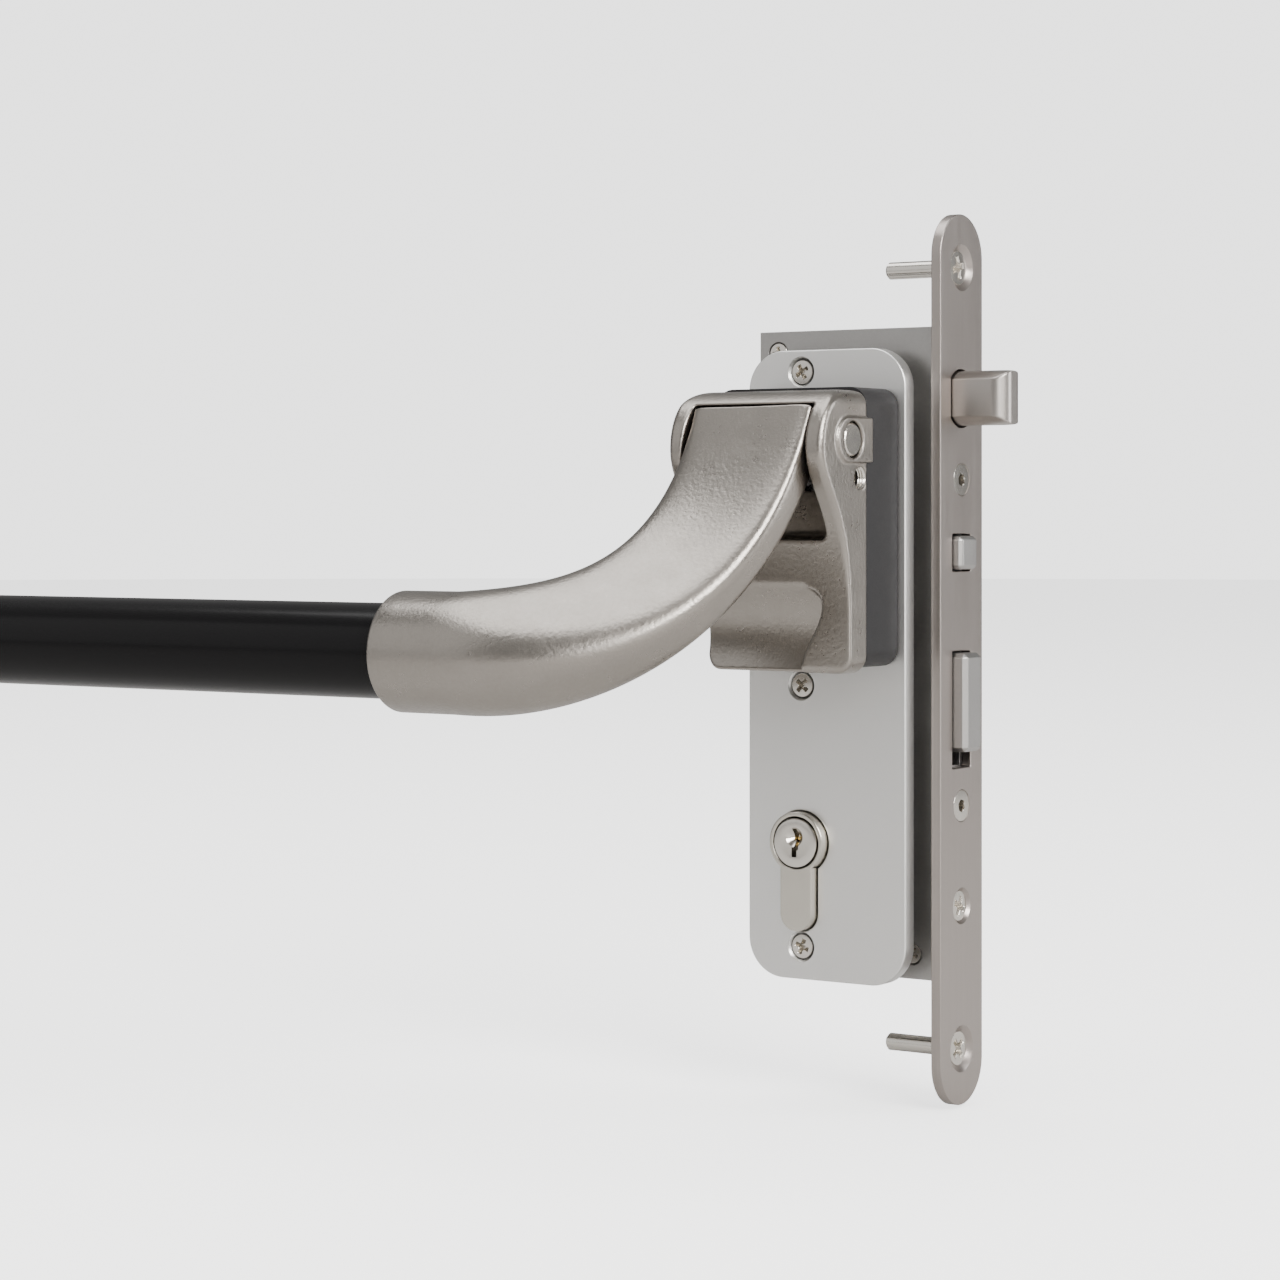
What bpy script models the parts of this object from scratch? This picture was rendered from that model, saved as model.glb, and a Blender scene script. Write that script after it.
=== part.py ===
"""Panic exit bar with a self-locking mortice lock, as separate solids.

+X runs along the bar towards the lock edge of the door, +Y runs into the door and +Z is up.
The origin is the centre of the lock-side backplate's back face, where it meets the door.
"""

import math

import bmesh
import bpy
import numpy as np
from mathutils import Matrix, Vector

MM = 0.001

# Clearances
TOUCH = 0.4 * MM  # between pieces that rest on each other
RUNNING = 0.5 * MM  # between pieces that move past each other

# Door
DOOR_WIDTH = 900 * MM
HINGE_SIDE_EDGE = 48 * MM  # hinge edge of the door to the middle of the hinge-side bracket

# Lock-side backplate
PLATE_WIDTH = 50 * MM
PLATE_THICKNESS = 5 * MM
PLATE_CORNER = 11 * MM
PLATE_LOCK_EDGE = 17 * MM  # plate's inner edge to the lock's centre line
PLATE_ABOVE_FOLLOWER = 44 * MM
PLATE_BELOW_CYLINDER = 38 * MM
CENTRES = 92 * MM  # follower to cylinder
HINGE_PLATE_ABOVE = 14 * MM  # hinge-side plate, above and below the bracket
HINGE_PLATE_BELOW = 14 * MM

# Plate screws
SCREW_HEAD = 8.2 * MM
SCREW_HEAD_DEPTH = 2.4 * MM
SCREW_SHANK = 4.2 * MM
SCREW_EDGE_TOP = 6 * MM  # plate's end to the screw's centre
SCREW_EDGE_BOTTOM = 9 * MM
SCREW_REACH = 5.5 * MM  # into the door

# Head: spacer block and bracket
SPACER_DEPTH = 18 * MM
SPACER_WALL = 2.5 * MM
HEAD_CORNER = 5 * MM
HEAD_ABOVE = 32.3 * MM  # bracket above and below the follower's axis
HEAD_BELOW = 43.9 * MM
HEAD_OFFSET = 7.3 * MM  # lock's centre line to the middle of the bracket
EAR = 5.2 * MM
BAY_EASE = 1.5 * MM  # taken off the left ear, where the arm starts to bend away
EAR_DEPTH = 23.5 * MM  # ears and lower body, in front of the spacer
BODY_DEPTH = 8.8 * MM
EAR_HEIGHT = 16 * MM  # where the ears stand out furthest, above the follower
BAY_BOTTOM = -8 * MM  # ledge under the arm's bay, from the follower
BAY_WALL = 2 * MM
BAY_WALL_TOP = 5 * MM
BRIDGE_BOTTOM = 28.7 * MM
POCKET_RADIUS = 20 * MM
POCKET_DEPTH = 5.8 * MM
BOSS_HEIGHT = 12 * MM
BOSS_PROUD = 0.9 * MM

# Pivot
PIVOT_DEPTH = 8.2 * MM  # in front of the spacer
PIVOT_HEIGHT = 18.4 * MM  # above the follower
PIN_DIAMETER = 9 * MM
BUSH_WALL = 1.2 * MM
BUSH_LENGTH = 9 * MM
HUB_RADIUS = 9.5 * MM
SET_SCREW = 5.2 * MM
SET_SCREW_DROP = 10 * MM

# Lever arm and bar
ARM_WIDTH = 36.8 * MM  # at the hinge
ARM_THICKNESS = 10.8 * MM  # at the hinge
ARM_LEAN = math.radians(24.5)  # front face from the vertical, at the hinge
ARM_TOP_DEPTH = 11.5 * MM  # front upper edge, in front of the pivot and above it
ARM_TOP_HEIGHT = 9.1 * MM
ARM_SHANK = 61 * MM  # pull of the bend towards the hinge, and towards the socket
ARM_SWEEP = 31 * MM
BAR_DIAMETER = 25.8 * MM
BAR_WALL = 2 * MM
BAR_STANDOFF = 67.4 * MM  # bar's axis in front of the spacer
BAR_DROP = 38 * MM  # bar's axis below the follower
SOCKET_WALL = 3 * MM
SOCKET_REACH = 79.8 * MM  # middle of the bracket to the socket's mouth
SOCKET_STRAIGHT = 18.4 * MM
SOCKET_DEPTH = 27 * MM
GRUB = 5.4 * MM
GRUB_FROM_MOUTH = 9 * MM

# Drive from the arm to the follower
BAR_TRAVEL = math.radians(22)
DRIVE_RADIUS = 19.4 * MM
CRANK_RADIUS = 12.5 * MM
NOSE_WIDTH = 7 * MM
NOSE_TIP = 3.2 * MM
CRANK_TIP = 2.4 * MM
SLIDER_WIDTH = 8.7 * MM
SPINDLE = 9 * MM
SPRING_DIAMETER = 6 * MM

# Mortice lock
BACKSET = 40 * MM
LOCK_MIDDLE = 14 * MM  # forend's middle, into the door
FOREND_WIDTH = 24 * MM
FOREND_THICKNESS = 3 * MM
FOREND_ABOVE = 81 * MM  # above the follower
FOREND_BELOW_CYLINDER = 71.5 * MM
CASE_THICKNESS = 15 * MM
CASE_SHEET = 1.5 * MM
CASE_DEPTH = 57 * MM
CASE_ABOVE = 50 * MM
CASE_BELOW_CYLINDER = 37 * MM
BOLT_THROW = 16.3 * MM
BOLT_HEIGHT = 15 * MM
BOLT_THICKNESS = 11 * MM
BOLT_ABOVE = 30.4 * MM
BOLT_LENGTH = 41 * MM
BOLT_TRAVEL = 16.8 * MM
CONTROL_DROP = 11.9 * MM
CONTROL_HEIGHT = 9.2 * MM
CONTROL_THROW = 2.6 * MM
CROSS_TOP = 39.4 * MM
CROSS_HEIGHT = 27 * MM
CROSS_SLOT_HEIGHT = 31.7 * MM
CROSS_THROW = 4 * MM
LATCH_THICKNESS = 9.6 * MM
FOREND_SCREW_TOP = 66.3 * MM
FOREND_SCREW_DROP = 56.1 * MM  # lower fixing screw, below the cylinder
CASE_SCREW_TOP = 8.1 * MM
CASE_SCREW_RISE = 10.6 * MM  # lower case screw, above the cylinder
CYLINDER_SCREW_DROP = 16.9 * MM

# Euro-profile cylinder
EURO_RADIUS = 8.5 * MM
EURO_STEM = 10 * MM
EURO_HEIGHT = 33 * MM
PLUG_RADIUS = 6.9 * MM
CYLINDER_PROUD = 3 * MM
CAM_RADIUS = 13.2 * MM
CAM_WIDTH = 9.6 * MM

# Places that follow from the sizes above
FOLLOWER_Z = (CENTRES + PLATE_BELOW_CYLINDER - PLATE_ABOVE_FOLLOWER) / 2
CYLINDER_Z = FOLLOWER_Z - CENTRES
PLATE_TOP = FOLLOWER_Z + PLATE_ABOVE_FOLLOWER
PLATE_BOTTOM = CYLINDER_Z - PLATE_BELOW_CYLINDER
LOCK_X = PLATE_LOCK_EDGE - PLATE_WIDTH / 2
FOREND_X = LOCK_X + BACKSET
HEAD_X = LOCK_X + HEAD_OFFSET
HEAD_WIDTH = ARM_WIDTH + 2 * RUNNING + 2 * EAR
HEAD_LEFT = HEAD_X - HEAD_WIDTH / 2
HEAD_RIGHT = HEAD_X + HEAD_WIDTH / 2
HEAD_TOP = FOLLOWER_Z + HEAD_ABOVE
HEAD_BOTTOM = FOLLOWER_Z - HEAD_BELOW
BACK_Y = -PLATE_THICKNESS - SPACER_DEPTH
PIVOT_Y = BACK_Y - PIVOT_DEPTH
PIVOT_Z = FOLLOWER_Z + PIVOT_HEIGHT
BAR_Y = BACK_Y - BAR_STANDOFF
BAR_Z = FOLLOWER_Z - BAR_DROP
SOCKET_RADIUS = BAR_DIAMETER / 2 + TOUCH + SOCKET_WALL
SOCKET_MOUTH_X = HEAD_X - SOCKET_REACH
HINGE_HEAD_X = FOREND_X - DOOR_WIDTH + HINGE_SIDE_EDGE
MIRROR_X = (HEAD_X + HINGE_HEAD_X) / 2
BUSH_INNER = PIN_DIAMETER / 2 + RUNNING
BUSH_OUTER = BUSH_INNER + BUSH_WALL
DRIVE_RATIO = DRIVE_RADIUS / CRANK_RADIUS
FOLLOWER_LEAN = BAR_TRAVEL * DRIVE_RATIO / 2  # every lever swings this far each side
CASE_RIGHT = FOREND_X - FOREND_THICKNESS - TOUCH
CASE_LEFT = CASE_RIGHT - CASE_DEPTH
CASE_TOP = FOLLOWER_Z + CASE_ABOVE
CASE_BOTTOM = CYLINDER_Z - CASE_BELOW_CYLINDER
CASE_FRONT_Y = LOCK_MIDDLE - CASE_THICKNESS / 2
CASE_BACK_Y = LOCK_MIDDLE + CASE_THICKNESS / 2
COVER_INNER_Y = CASE_FRONT_Y + CASE_SHEET
SHEET_INNER_Y = CASE_BACK_Y - CASE_SHEET
NEAR_LAYER = (COVER_INNER_Y + 0.6 * MM, LOCK_MIDDLE - 0.6 * MM)
FAR_LAYER = (LOCK_MIDDLE + 0.6 * MM, SHEET_INNER_Y - 0.4 * MM)
BOLT_Z = FOLLOWER_Z + BOLT_ABOVE
CONTROL_Z = FOLLOWER_Z - CONTROL_DROP
CROSS_TOP_Z = FOLLOWER_Z - CROSS_TOP
CROSS_SLOT_TOP_Z = CROSS_TOP_Z + 0.6 * MM

# Screws and levers that follow from those places
BRACKET_SCREWS = {
    "lower": (HEAD_RIGHT - 6.4 * MM, FOLLOWER_Z - 36 * MM),
    "right": (HEAD_RIGHT - 6.4 * MM, FOLLOWER_Z - 14 * MM),
    "left": (HEAD_LEFT + 5.5 * MM, FOLLOWER_Z - 15 * MM),
}
HINGE_BRACKET_SCREWS = {key: BRACKET_SCREWS[key] for key in ("lower", "left")}
SCREW_INTO_BRACKET = 6 * MM
CRANK_HUB = 8.4 * MM
SLIDER_LEFT = LOCK_X + CRANK_RADIUS * math.cos(FOLLOWER_LEAN) - CRANK_TIP + 0.75 * MM
CRANK_LAYER = (BACK_Y + 6 * MM, BACK_Y + 12.5 * MM)
SPINDLE_FRONT = BACK_Y + 5.6 * MM
BOLT_ARM = BOLT_TRAVEL / (2 * math.sin(FOLLOWER_LEAN))
BOLT_ARM_TIP = 2.5 * MM
LATCH_ARM = 14 * MM
LATCH_ARM_TIP = 2.4 * MM
LATCH_LEVER_Z = FOLLOWER_Z - 29 * MM
LATCH_LEVER_X = LOCK_X + 5.4 * MM
LATCH_LEVER_SHARE = 0.85  # turn of the latch lever for each turn of the follower
LATCH_LEAN = FOLLOWER_LEAN * LATCH_LEVER_SHARE
LATCH_LEVER_UP = 16.5 * MM
LATCH_LEVER_DOWN = 9.5 * MM
LATCH_LEVER_TIP = 2.3 * MM

FINISHES = {
    "satin_aluminium": ((0.52, 0.51, 0.49), 0.38, 1.0),
    "cast_nickel": ((0.36, 0.33, 0.30), 0.42, 1.0),
    "stainless": ((0.40, 0.36, 0.34), 0.34, 1.0),
    "bright_steel": ((0.60, 0.59, 0.57), 0.2, 1.0),
    "spring_steel": ((0.35, 0.35, 0.36), 0.3, 1.0),
    "dark_plastic": ((0.045, 0.043, 0.045), 0.5, 0.0),
    "nylon": ((0.75, 0.74, 0.70), 0.5, 0.0),
    "black_lacquer": ((0.012, 0.011, 0.012), 0.25, 0.0),
    "brass": ((0.60, 0.44, 0.18), 0.3, 1.0),
}

SCREW_SEGMENTS = 14

PLANE_XZ = Matrix(((1, 0, 0), (0, 0, -1), (0, 1, 0)))
PLANE_YZ = Matrix(((0, 0, 1), (1, 0, 0), (0, 1, 0)))
FACING = {
    "-Y": Matrix.Rotation(math.pi / 2, 4, "X"),
    "+Y": Matrix.Rotation(-math.pi / 2, 4, "X"),
    "+X": Matrix.Rotation(math.pi / 2, 4, "Y"),
    "-X": Matrix.Rotation(-math.pi / 2, 4, "Y"),
    "+Z": Matrix.Identity(4),
}


def collection(name):
    """A new collection in the scene."""
    made = bpy.data.collections.new(name)
    bpy.context.scene.collection.children.link(made)
    return made


def clear_scene():
    """Remove whatever the scene holds."""
    for obj in list(bpy.data.objects):
        bpy.data.objects.remove(obj, do_unlink=True)


clear_scene()
PARTS = collection("panic_exit_bar")
CUTTERS = collection("cutters")


# Outlines, as lists of points in a plane


def arc(centre, radius, start, end, count):
    """Points on an arc, angles in degrees."""
    angles = np.radians(np.linspace(start, end, count))
    return [(centre[0] + radius * math.cos(a), centre[1] + radius * math.sin(a)) for a in angles]


def rounded_rectangle(left, right, bottom, top, radius, count=7):
    """An upright rectangle with rounded corners."""
    points = []
    corners = ((right, top, 0), (left, top, 90), (left, bottom, 180), (right, bottom, 270))
    for x, z, start in corners:
        inward_x = -radius if x == right else radius
        inward_z = -radius if z == top else radius
        points += arc((x + inward_x, z + inward_z), radius, start, start + 90, count)
    return points


def bezier(start, first, second, end, count):
    """Points on a cubic curve, without the last one."""
    points = []
    for t in np.linspace(0, 1, count, endpoint=False):
        weights = ((1 - t) ** 3, 3 * t * (1 - t) ** 2, 3 * t * t * (1 - t), t**3)
        corners = (start, first, second, end)
        points.append(tuple(sum(w * c[i] for w, c in zip(weights, corners)) for i in (0, 1)))
    return points


def lever_outline(pivot, angle, length, neck, tip):
    """A straight lever from its pivot to a round tip; neck is half its width."""
    half_opening = math.degrees(math.asin(neck / tip))
    reach = length - math.sqrt(tip * tip - neck * neck)
    local = [(0, -neck), (reach, -neck)]
    local += arc((length, 0), tip, half_opening - 180, 180 - half_opening, 13)[1:-1]
    local += [(reach, neck), (0, neck)]
    cos, sin = math.cos(angle), math.sin(angle)
    return [(pivot[0] + u * cos - v * sin, pivot[1] + u * sin + v * cos) for u, v in local]


def euro_outline(grow):
    """The profile of the cylinder, or of its cut-out when grow is positive."""
    radius = EURO_RADIUS + grow
    half_stem = EURO_STEM / 2 + grow
    opening = math.degrees(math.acos(half_stem / radius))
    points = arc((LOCK_X, CYLINDER_Z), radius, -opening, 180 + opening, 21)
    stem_z = CYLINDER_Z + EURO_RADIUS - EURO_HEIGHT + EURO_STEM / 2
    return points + arc((LOCK_X, stem_z), half_stem, 180, 360, 9)


def head_profile():
    """Side profile of the bracket: ears that stand forward, and a thinner lower body."""
    front_y = BACK_Y - EAR_DEPTH
    body_y = BACK_Y - BODY_DEPTH
    front_z = FOLLOWER_Z + EAR_HEIGHT
    body_z = FOLLOWER_Z - 26 * MM
    crown = (BACK_Y - 7 * MM, HEAD_TOP)
    points = [(BACK_Y, HEAD_BOTTOM), (BACK_Y, HEAD_TOP)]
    points += bezier(
        crown, (front_y + 7 * MM, HEAD_TOP), (front_y, front_z + 10 * MM), (front_y, front_z), 8
    )
    points += bezier(
        (front_y, front_z),
        (front_y, front_z - 11 * MM),
        (body_y - 0.7 * MM, FOLLOWER_Z),
        (body_y, body_z),
        9,
    )
    points.append((body_y, body_z))
    points += arc((body_y + 2 * MM, HEAD_BOTTOM + 2 * MM), 2 * MM, 180, 270, 4)
    return points


# Meshes in world coordinates


def tidy(mesh):
    """Weld the seams of a mesh and turn its faces out."""
    work = bmesh.new()
    work.from_mesh(mesh)
    bmesh.ops.remove_doubles(work, verts=work.verts, dist=1e-6)
    bmesh.ops.recalc_face_normals(work, faces=work.faces)
    work.to_mesh(mesh)
    work.free()
    return mesh


def block(low, high):
    """A box between two corners."""
    mesh = bpy.data.meshes.new("block")
    low, high = Vector(low), Vector(high)
    size = high - low
    work = bmesh.new()
    shape = Matrix.Translation((low + high) / 2) @ Matrix.Diagonal((*size, 1))
    bmesh.ops.create_cube(work, size=1, matrix=shape)
    work.to_mesh(mesh)
    work.free()
    return mesh


def rod(start, end, radius, end_radius=None, segments=24):
    """A cylinder or a cone between two points."""
    mesh = bpy.data.meshes.new("rod")
    start, end = Vector(start), Vector(end)
    run = end - start
    turn = run.to_track_quat("Z", "Y").to_matrix().to_4x4()
    work = bmesh.new()
    bmesh.ops.create_cone(
        work,
        cap_ends=True,
        segments=segments,
        radius1=radius,
        radius2=radius if end_radius is None else end_radius,
        depth=run.length,
        matrix=Matrix.Translation((start + end) / 2) @ turn,
    )
    work.to_mesh(mesh)
    work.free()
    return mesh


def slab(outline, plane, low, high):
    """A flat outline with a thickness: in the XZ plane between two Y, or YZ between two X."""
    curve = bpy.data.curves.new("slab", "CURVE")
    curve.dimensions = "2D"
    curve.fill_mode = "BOTH"
    curve.extrude = abs(high - low) / 2
    spline = curve.splines.new("POLY")
    spline.points.add(len(outline) - 1)
    for point, (u, v) in zip(spline.points, outline):
        point.co = (u, v, 0, 1)
    spline.use_cyclic_u = True
    guide = bpy.data.objects.new("slab", curve)
    middle = (low + high) / 2
    offset = Vector((0, middle, 0)) if plane is PLANE_XZ else Vector((middle, 0, 0))
    guide.matrix_world = Matrix.Translation(offset) @ plane.to_4x4()
    CUTTERS.objects.link(guide)
    bpy.context.view_layer.update()
    ready = guide.evaluated_get(bpy.context.evaluated_depsgraph_get())
    mesh = bpy.data.meshes.new_from_object(ready)
    mesh.transform(guide.matrix_world)
    bpy.data.objects.remove(guide, do_unlink=True)
    return tidy(mesh)


def loft(rings):
    """A closed skin over rings of points, each ring with as many points as the next."""
    count = len(rings[0])
    mesh = bpy.data.meshes.new("loft")
    faces = []
    for row in range(len(rings) - 1):
        for i in range(count):
            j = (i + 1) % count
            faces.append((row * count + i, row * count + j, (row + 1) * count + j, (row + 1) * count + i))
    last = (len(rings) - 1) * count
    faces.append(tuple(reversed(range(count))))
    faces.append(tuple(range(last, last + count)))
    mesh.from_pydata([tuple(p) for ring in rings for p in ring], [], faces)
    return tidy(mesh)


def circle_ring(radius, height, segments):
    """A level circle about the Z axis."""
    return [(x, y, height) for x, y in arc((0, 0), radius, 0, 360, segments + 1)[:-1]]


# Objects


def mirror_across(mesh):
    """Turn a lock-side mesh into its hinge-side twin."""
    mesh.transform(Matrix.Translation((2 * MIRROR_X, 0, 0)) @ Matrix.Diagonal((-1, 1, 1, 1)))
    mesh.flip_normals()
    return mesh


def paint(obj, finish):
    """Give an object a material of its own in one of the finishes."""
    colour, roughness, metallic = FINISHES[finish]
    material = bpy.data.materials.new(obj.name)
    material.use_nodes = True
    shader = material.node_tree.nodes["Principled BSDF"]
    shader.inputs["Base Color"].default_value = (*colour, 1)
    shader.inputs["Roughness"].default_value = roughness
    shader.inputs["Metallic"].default_value = metallic
    obj.data.materials.append(material)


def add(name, mesh, finish, mirrored=False):
    """A named piece, made from a mesh in world coordinates."""
    if mirrored:
        mirror_across(mesh)
    obj = bpy.data.objects.new(name, mesh)
    PARTS.objects.link(obj)
    paint(obj, finish)
    mesh.shade_smooth()
    mesh.set_sharp_from_angle(angle=math.radians(30))
    return obj


def boolean(target, mesh, operation, mirrored):
    """Cut or join a mesh on a piece, with the tool kept as a guide."""
    if mirrored:
        mirror_across(mesh)
    tool = bpy.data.objects.new(f"{target.name}_tool", mesh)
    tool.hide_render = True
    tool.display_type = "WIRE"
    CUTTERS.objects.link(tool)
    modifier = target.modifiers.new(operation.lower(), "BOOLEAN")
    modifier.operation = operation
    modifier.solver = "EXACT"
    modifier.object = tool


def cut(target, mesh, mirrored=False):
    """Take a mesh away from a piece."""
    boolean(target, mesh, "DIFFERENCE", mirrored)


def join(target, mesh, mirrored=False):
    """Make a mesh one body with a piece."""
    boolean(target, mesh, "UNION", mirrored)


def turned(name, profile, place, facing, finish, mirrored=False, segments=SCREW_SEGMENTS):
    """A turned piece: (radius, height) pairs from the top of its axis down to the bottom."""
    place = Vector(place)
    if mirrored:
        place.x = 2 * MIRROR_X - place.x
        facing = {"+X": "-X", "-X": "+X"}.get(facing, facing)
    mesh = bpy.data.meshes.new(name)
    points = [(r, 0, z) for r, z in profile]
    mesh.from_pydata(points, [(i, i + 1) for i in range(len(points) - 1)], [])
    obj = bpy.data.objects.new(name, mesh)
    PARTS.objects.link(obj)
    obj.matrix_world = Matrix.Translation(place) @ FACING[facing]
    paint(obj, finish)
    spin = obj.modifiers.new("spin", "SCREW")
    spin.steps = segments
    spin.render_steps = segments
    spin.use_merge_vertices = True
    spin.merge_threshold = 1e-5
    spin.use_smooth_shade = False
    return obj


def countersunk(name, place, facing, length, finish, head=SCREW_HEAD, mirrored=False):
    """A countersunk screw, its head's top at the place given."""
    head_radius = head / 2
    shank = SCREW_SHANK / 2 * head / SCREW_HEAD
    cone = SCREW_HEAD_DEPTH * head / SCREW_HEAD
    head_rim = [(0, 0), (head_radius, 0), (head_radius, -0.3 * MM)]
    profile = head_rim + [(shank, -cone), (shank, -length), (0, -length)]
    return turned(name, profile, place, facing, finish, mirrored)


def countersink(place, facing, length, head=SCREW_HEAD, sunk=0.0):
    """The hole that a countersunk screw sits in; sunk puts its seat below the face."""
    head_radius = head / 2 + TOUCH
    shank = SCREW_SHANK / 2 * head / SCREW_HEAD + TOUCH
    seat = -sunk - 0.4 * MM
    cone = SCREW_HEAD_DEPTH * head / SCREW_HEAD + 0.3 * MM
    levels = ((head_radius, MM), (head_radius, seat), (shank, seat - cone), (shank, -length))
    mesh = loft([circle_ring(radius, height, SCREW_SEGMENTS) for radius, height in levels])
    mesh.transform(Matrix.Translation(Vector(place)) @ FACING[facing])
    return mesh


def coil(name, start, end, radius, turns, wire, finish):
    """A coil spring between two points, its ends cut square."""
    steps = 8
    start, end = Vector(start), Vector(end)
    run = end - start
    turn = run.to_track_quat("Z", "Y").to_matrix()
    curve = bpy.data.curves.new(name, "CURVE")
    curve.dimensions = "3D"
    curve.bevel_depth = wire / 2
    curve.bevel_resolution = 0
    curve.use_fill_caps = True
    spline = curve.splines.new("POLY")
    count = turns * steps + 1
    spline.points.add(count - 1)
    for i, point in enumerate(spline.points):
        angle = 2 * math.pi * i / steps
        height = wire / 2 + (run.length - wire) * i / (count - 1)
        local = Vector((radius * math.cos(angle), radius * math.sin(angle), height))
        point.co = (*(start + turn @ local), 1)
    guide = bpy.data.objects.new(name, curve)
    CUTTERS.objects.link(guide)
    bpy.context.view_layer.update()
    ready = guide.evaluated_get(bpy.context.evaluated_depsgraph_get())
    mesh = bpy.data.meshes.new_from_object(ready)
    bpy.data.objects.remove(guide, do_unlink=True)
    return add(name, tidy(mesh), finish)


def axis_empty(name, place):
    """An empty on a joint's axis."""
    empty = bpy.data.objects.new(name, None)
    empty.location = place
    PARTS.objects.link(empty)
    return empty


def hang(empty, pieces):
    """Parent pieces to the empty on their joint's axis, without moving them."""
    for piece in pieces:
        piece.parent = empty
        piece.location = piece.location - empty.location


# Lock-side and hinge-side heads


def add_backplate():
    """The lock-side plate, with its cylinder cut-out, and its three screws."""
    outline = rounded_rectangle(-PLATE_WIDTH / 2, PLATE_WIDTH / 2, PLATE_BOTTOM, PLATE_TOP, PLATE_CORNER)
    plate = add("backplate", slab(outline, PLANE_XZ, -PLATE_THICKNESS, 0), "satin_aluminium")
    cut(plate, slab(euro_outline(0.6 * MM), PLANE_XZ, -PLATE_THICKNESS - MM, MM))
    middle_y = -PLATE_THICKNESS / 2
    cut(plate, rod((LOCK_X, middle_y - 5 * MM, FOLLOWER_Z), (LOCK_X, middle_y + 5 * MM, FOLLOWER_Z), 8 * MM))
    heights = {
        "top": PLATE_TOP - SCREW_EDGE_TOP,
        "middle": HEAD_BOTTOM - 4.8 * MM,
        "bottom": PLATE_BOTTOM + SCREW_EDGE_BOTTOM,
    }
    for label, z in heights.items():
        place = (LOCK_X, -PLATE_THICKNESS, z)
        cut(plate, countersink(place, "-Y", PLATE_THICKNESS + MM))
        length = PLATE_THICKNESS + SCREW_REACH
        countersunk(f"backplate_screw_{label}", place, "-Y", length, "bright_steel")
    for x, z in BRACKET_SCREWS.values():
        cut(plate, countersink((x, 0, z), "+Y", PLATE_THICKNESS + MM))


def add_hinge_plate():
    """The hinge-side plate, which has no lock behind it, and its two screws."""
    top, bottom = HEAD_TOP + HINGE_PLATE_ABOVE, HEAD_BOTTOM - HINGE_PLATE_BELOW
    left, right = HEAD_X - PLATE_WIDTH / 2, HEAD_X + PLATE_WIDTH / 2
    outline = rounded_rectangle(left, right, bottom, top, PLATE_CORNER)
    plate = add("hinge_backplate", slab(outline, PLANE_XZ, -PLATE_THICKNESS, 0), "satin_aluminium", True)
    for label, z in {"top": top - 7 * MM, "bottom": bottom + 7 * MM}.items():
        place = (HEAD_X, -PLATE_THICKNESS, z)
        cut(plate, countersink(place, "-Y", PLATE_THICKNESS + MM), True)
        length = PLATE_THICKNESS + SCREW_REACH
        countersunk(f"hinge_backplate_screw_{label}", place, "-Y", length, "bright_steel", mirrored=True)
    for x, z in HINGE_BRACKET_SCREWS.values():
        cut(plate, countersink((x, 0, z), "+Y", PLATE_THICKNESS + MM), True)


def add_spacer(name, mirrored, screws):
    """The moulded block behind the bracket, hollow for the drive and open to the plate."""
    inset = 0.5 * MM
    outline = rounded_rectangle(
        HEAD_LEFT + inset, HEAD_RIGHT - inset, HEAD_BOTTOM + 1.3 * MM, HEAD_TOP + inset, HEAD_CORNER
    )
    front, back = BACK_Y + TOUCH, -PLATE_THICKNESS - TOUCH
    spacer = add(name, slab(outline, PLANE_XZ, front, back), "dark_plastic", mirrored)
    inner = front + SPACER_WALL
    roof = HEAD_TOP + inset - SPACER_WALL
    hub = CRANK_HUB + MM
    chamber = block(
        (LOCK_X - hub, inner, FOLLOWER_Z - hub),
        (SLIDER_LEFT + SLIDER_WIDTH + 1.1 * MM, 0, roof),
    )
    shaft = block(
        (SLIDER_LEFT - MM, inner, HEAD_BOTTOM + 6 * MM),
        (SLIDER_LEFT + SLIDER_WIDTH + 1.1 * MM, 0.5 * MM, FOLLOWER_Z),
    )
    cut(spacer, chamber, mirrored)
    cut(spacer, shaft, mirrored)
    half_arm = ARM_WIDTH / 2 + RUNNING
    window = block(
        (HEAD_X - half_arm, front - MM, PIVOT_Z - HUB_RADIUS - 6 * MM),
        (HEAD_X + half_arm, inner + 0.1 * MM, roof - 0.3 * MM),
    )
    cut(spacer, window, mirrored)
    for x, z in screws.values():
        hole = rod((x, front - MM, z), (x, back + MM, z), SCREW_SHANK / 2 + TOUCH, segments=16)
        cut(spacer, hole, mirrored)


def boss_outline(grow=0.0):
    """The D-shaped boss at the pin's end: round to the front, flat towards the door."""
    half = BOSS_HEIGHT / 2 + grow
    front = arc((PIVOT_Y - 2 * MM, PIVOT_Z), half, 90, 270, 9)
    return front + [(BACK_Y + 2 * MM, PIVOT_Z - half), (BACK_Y + 2 * MM, PIVOT_Z + half)]


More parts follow.
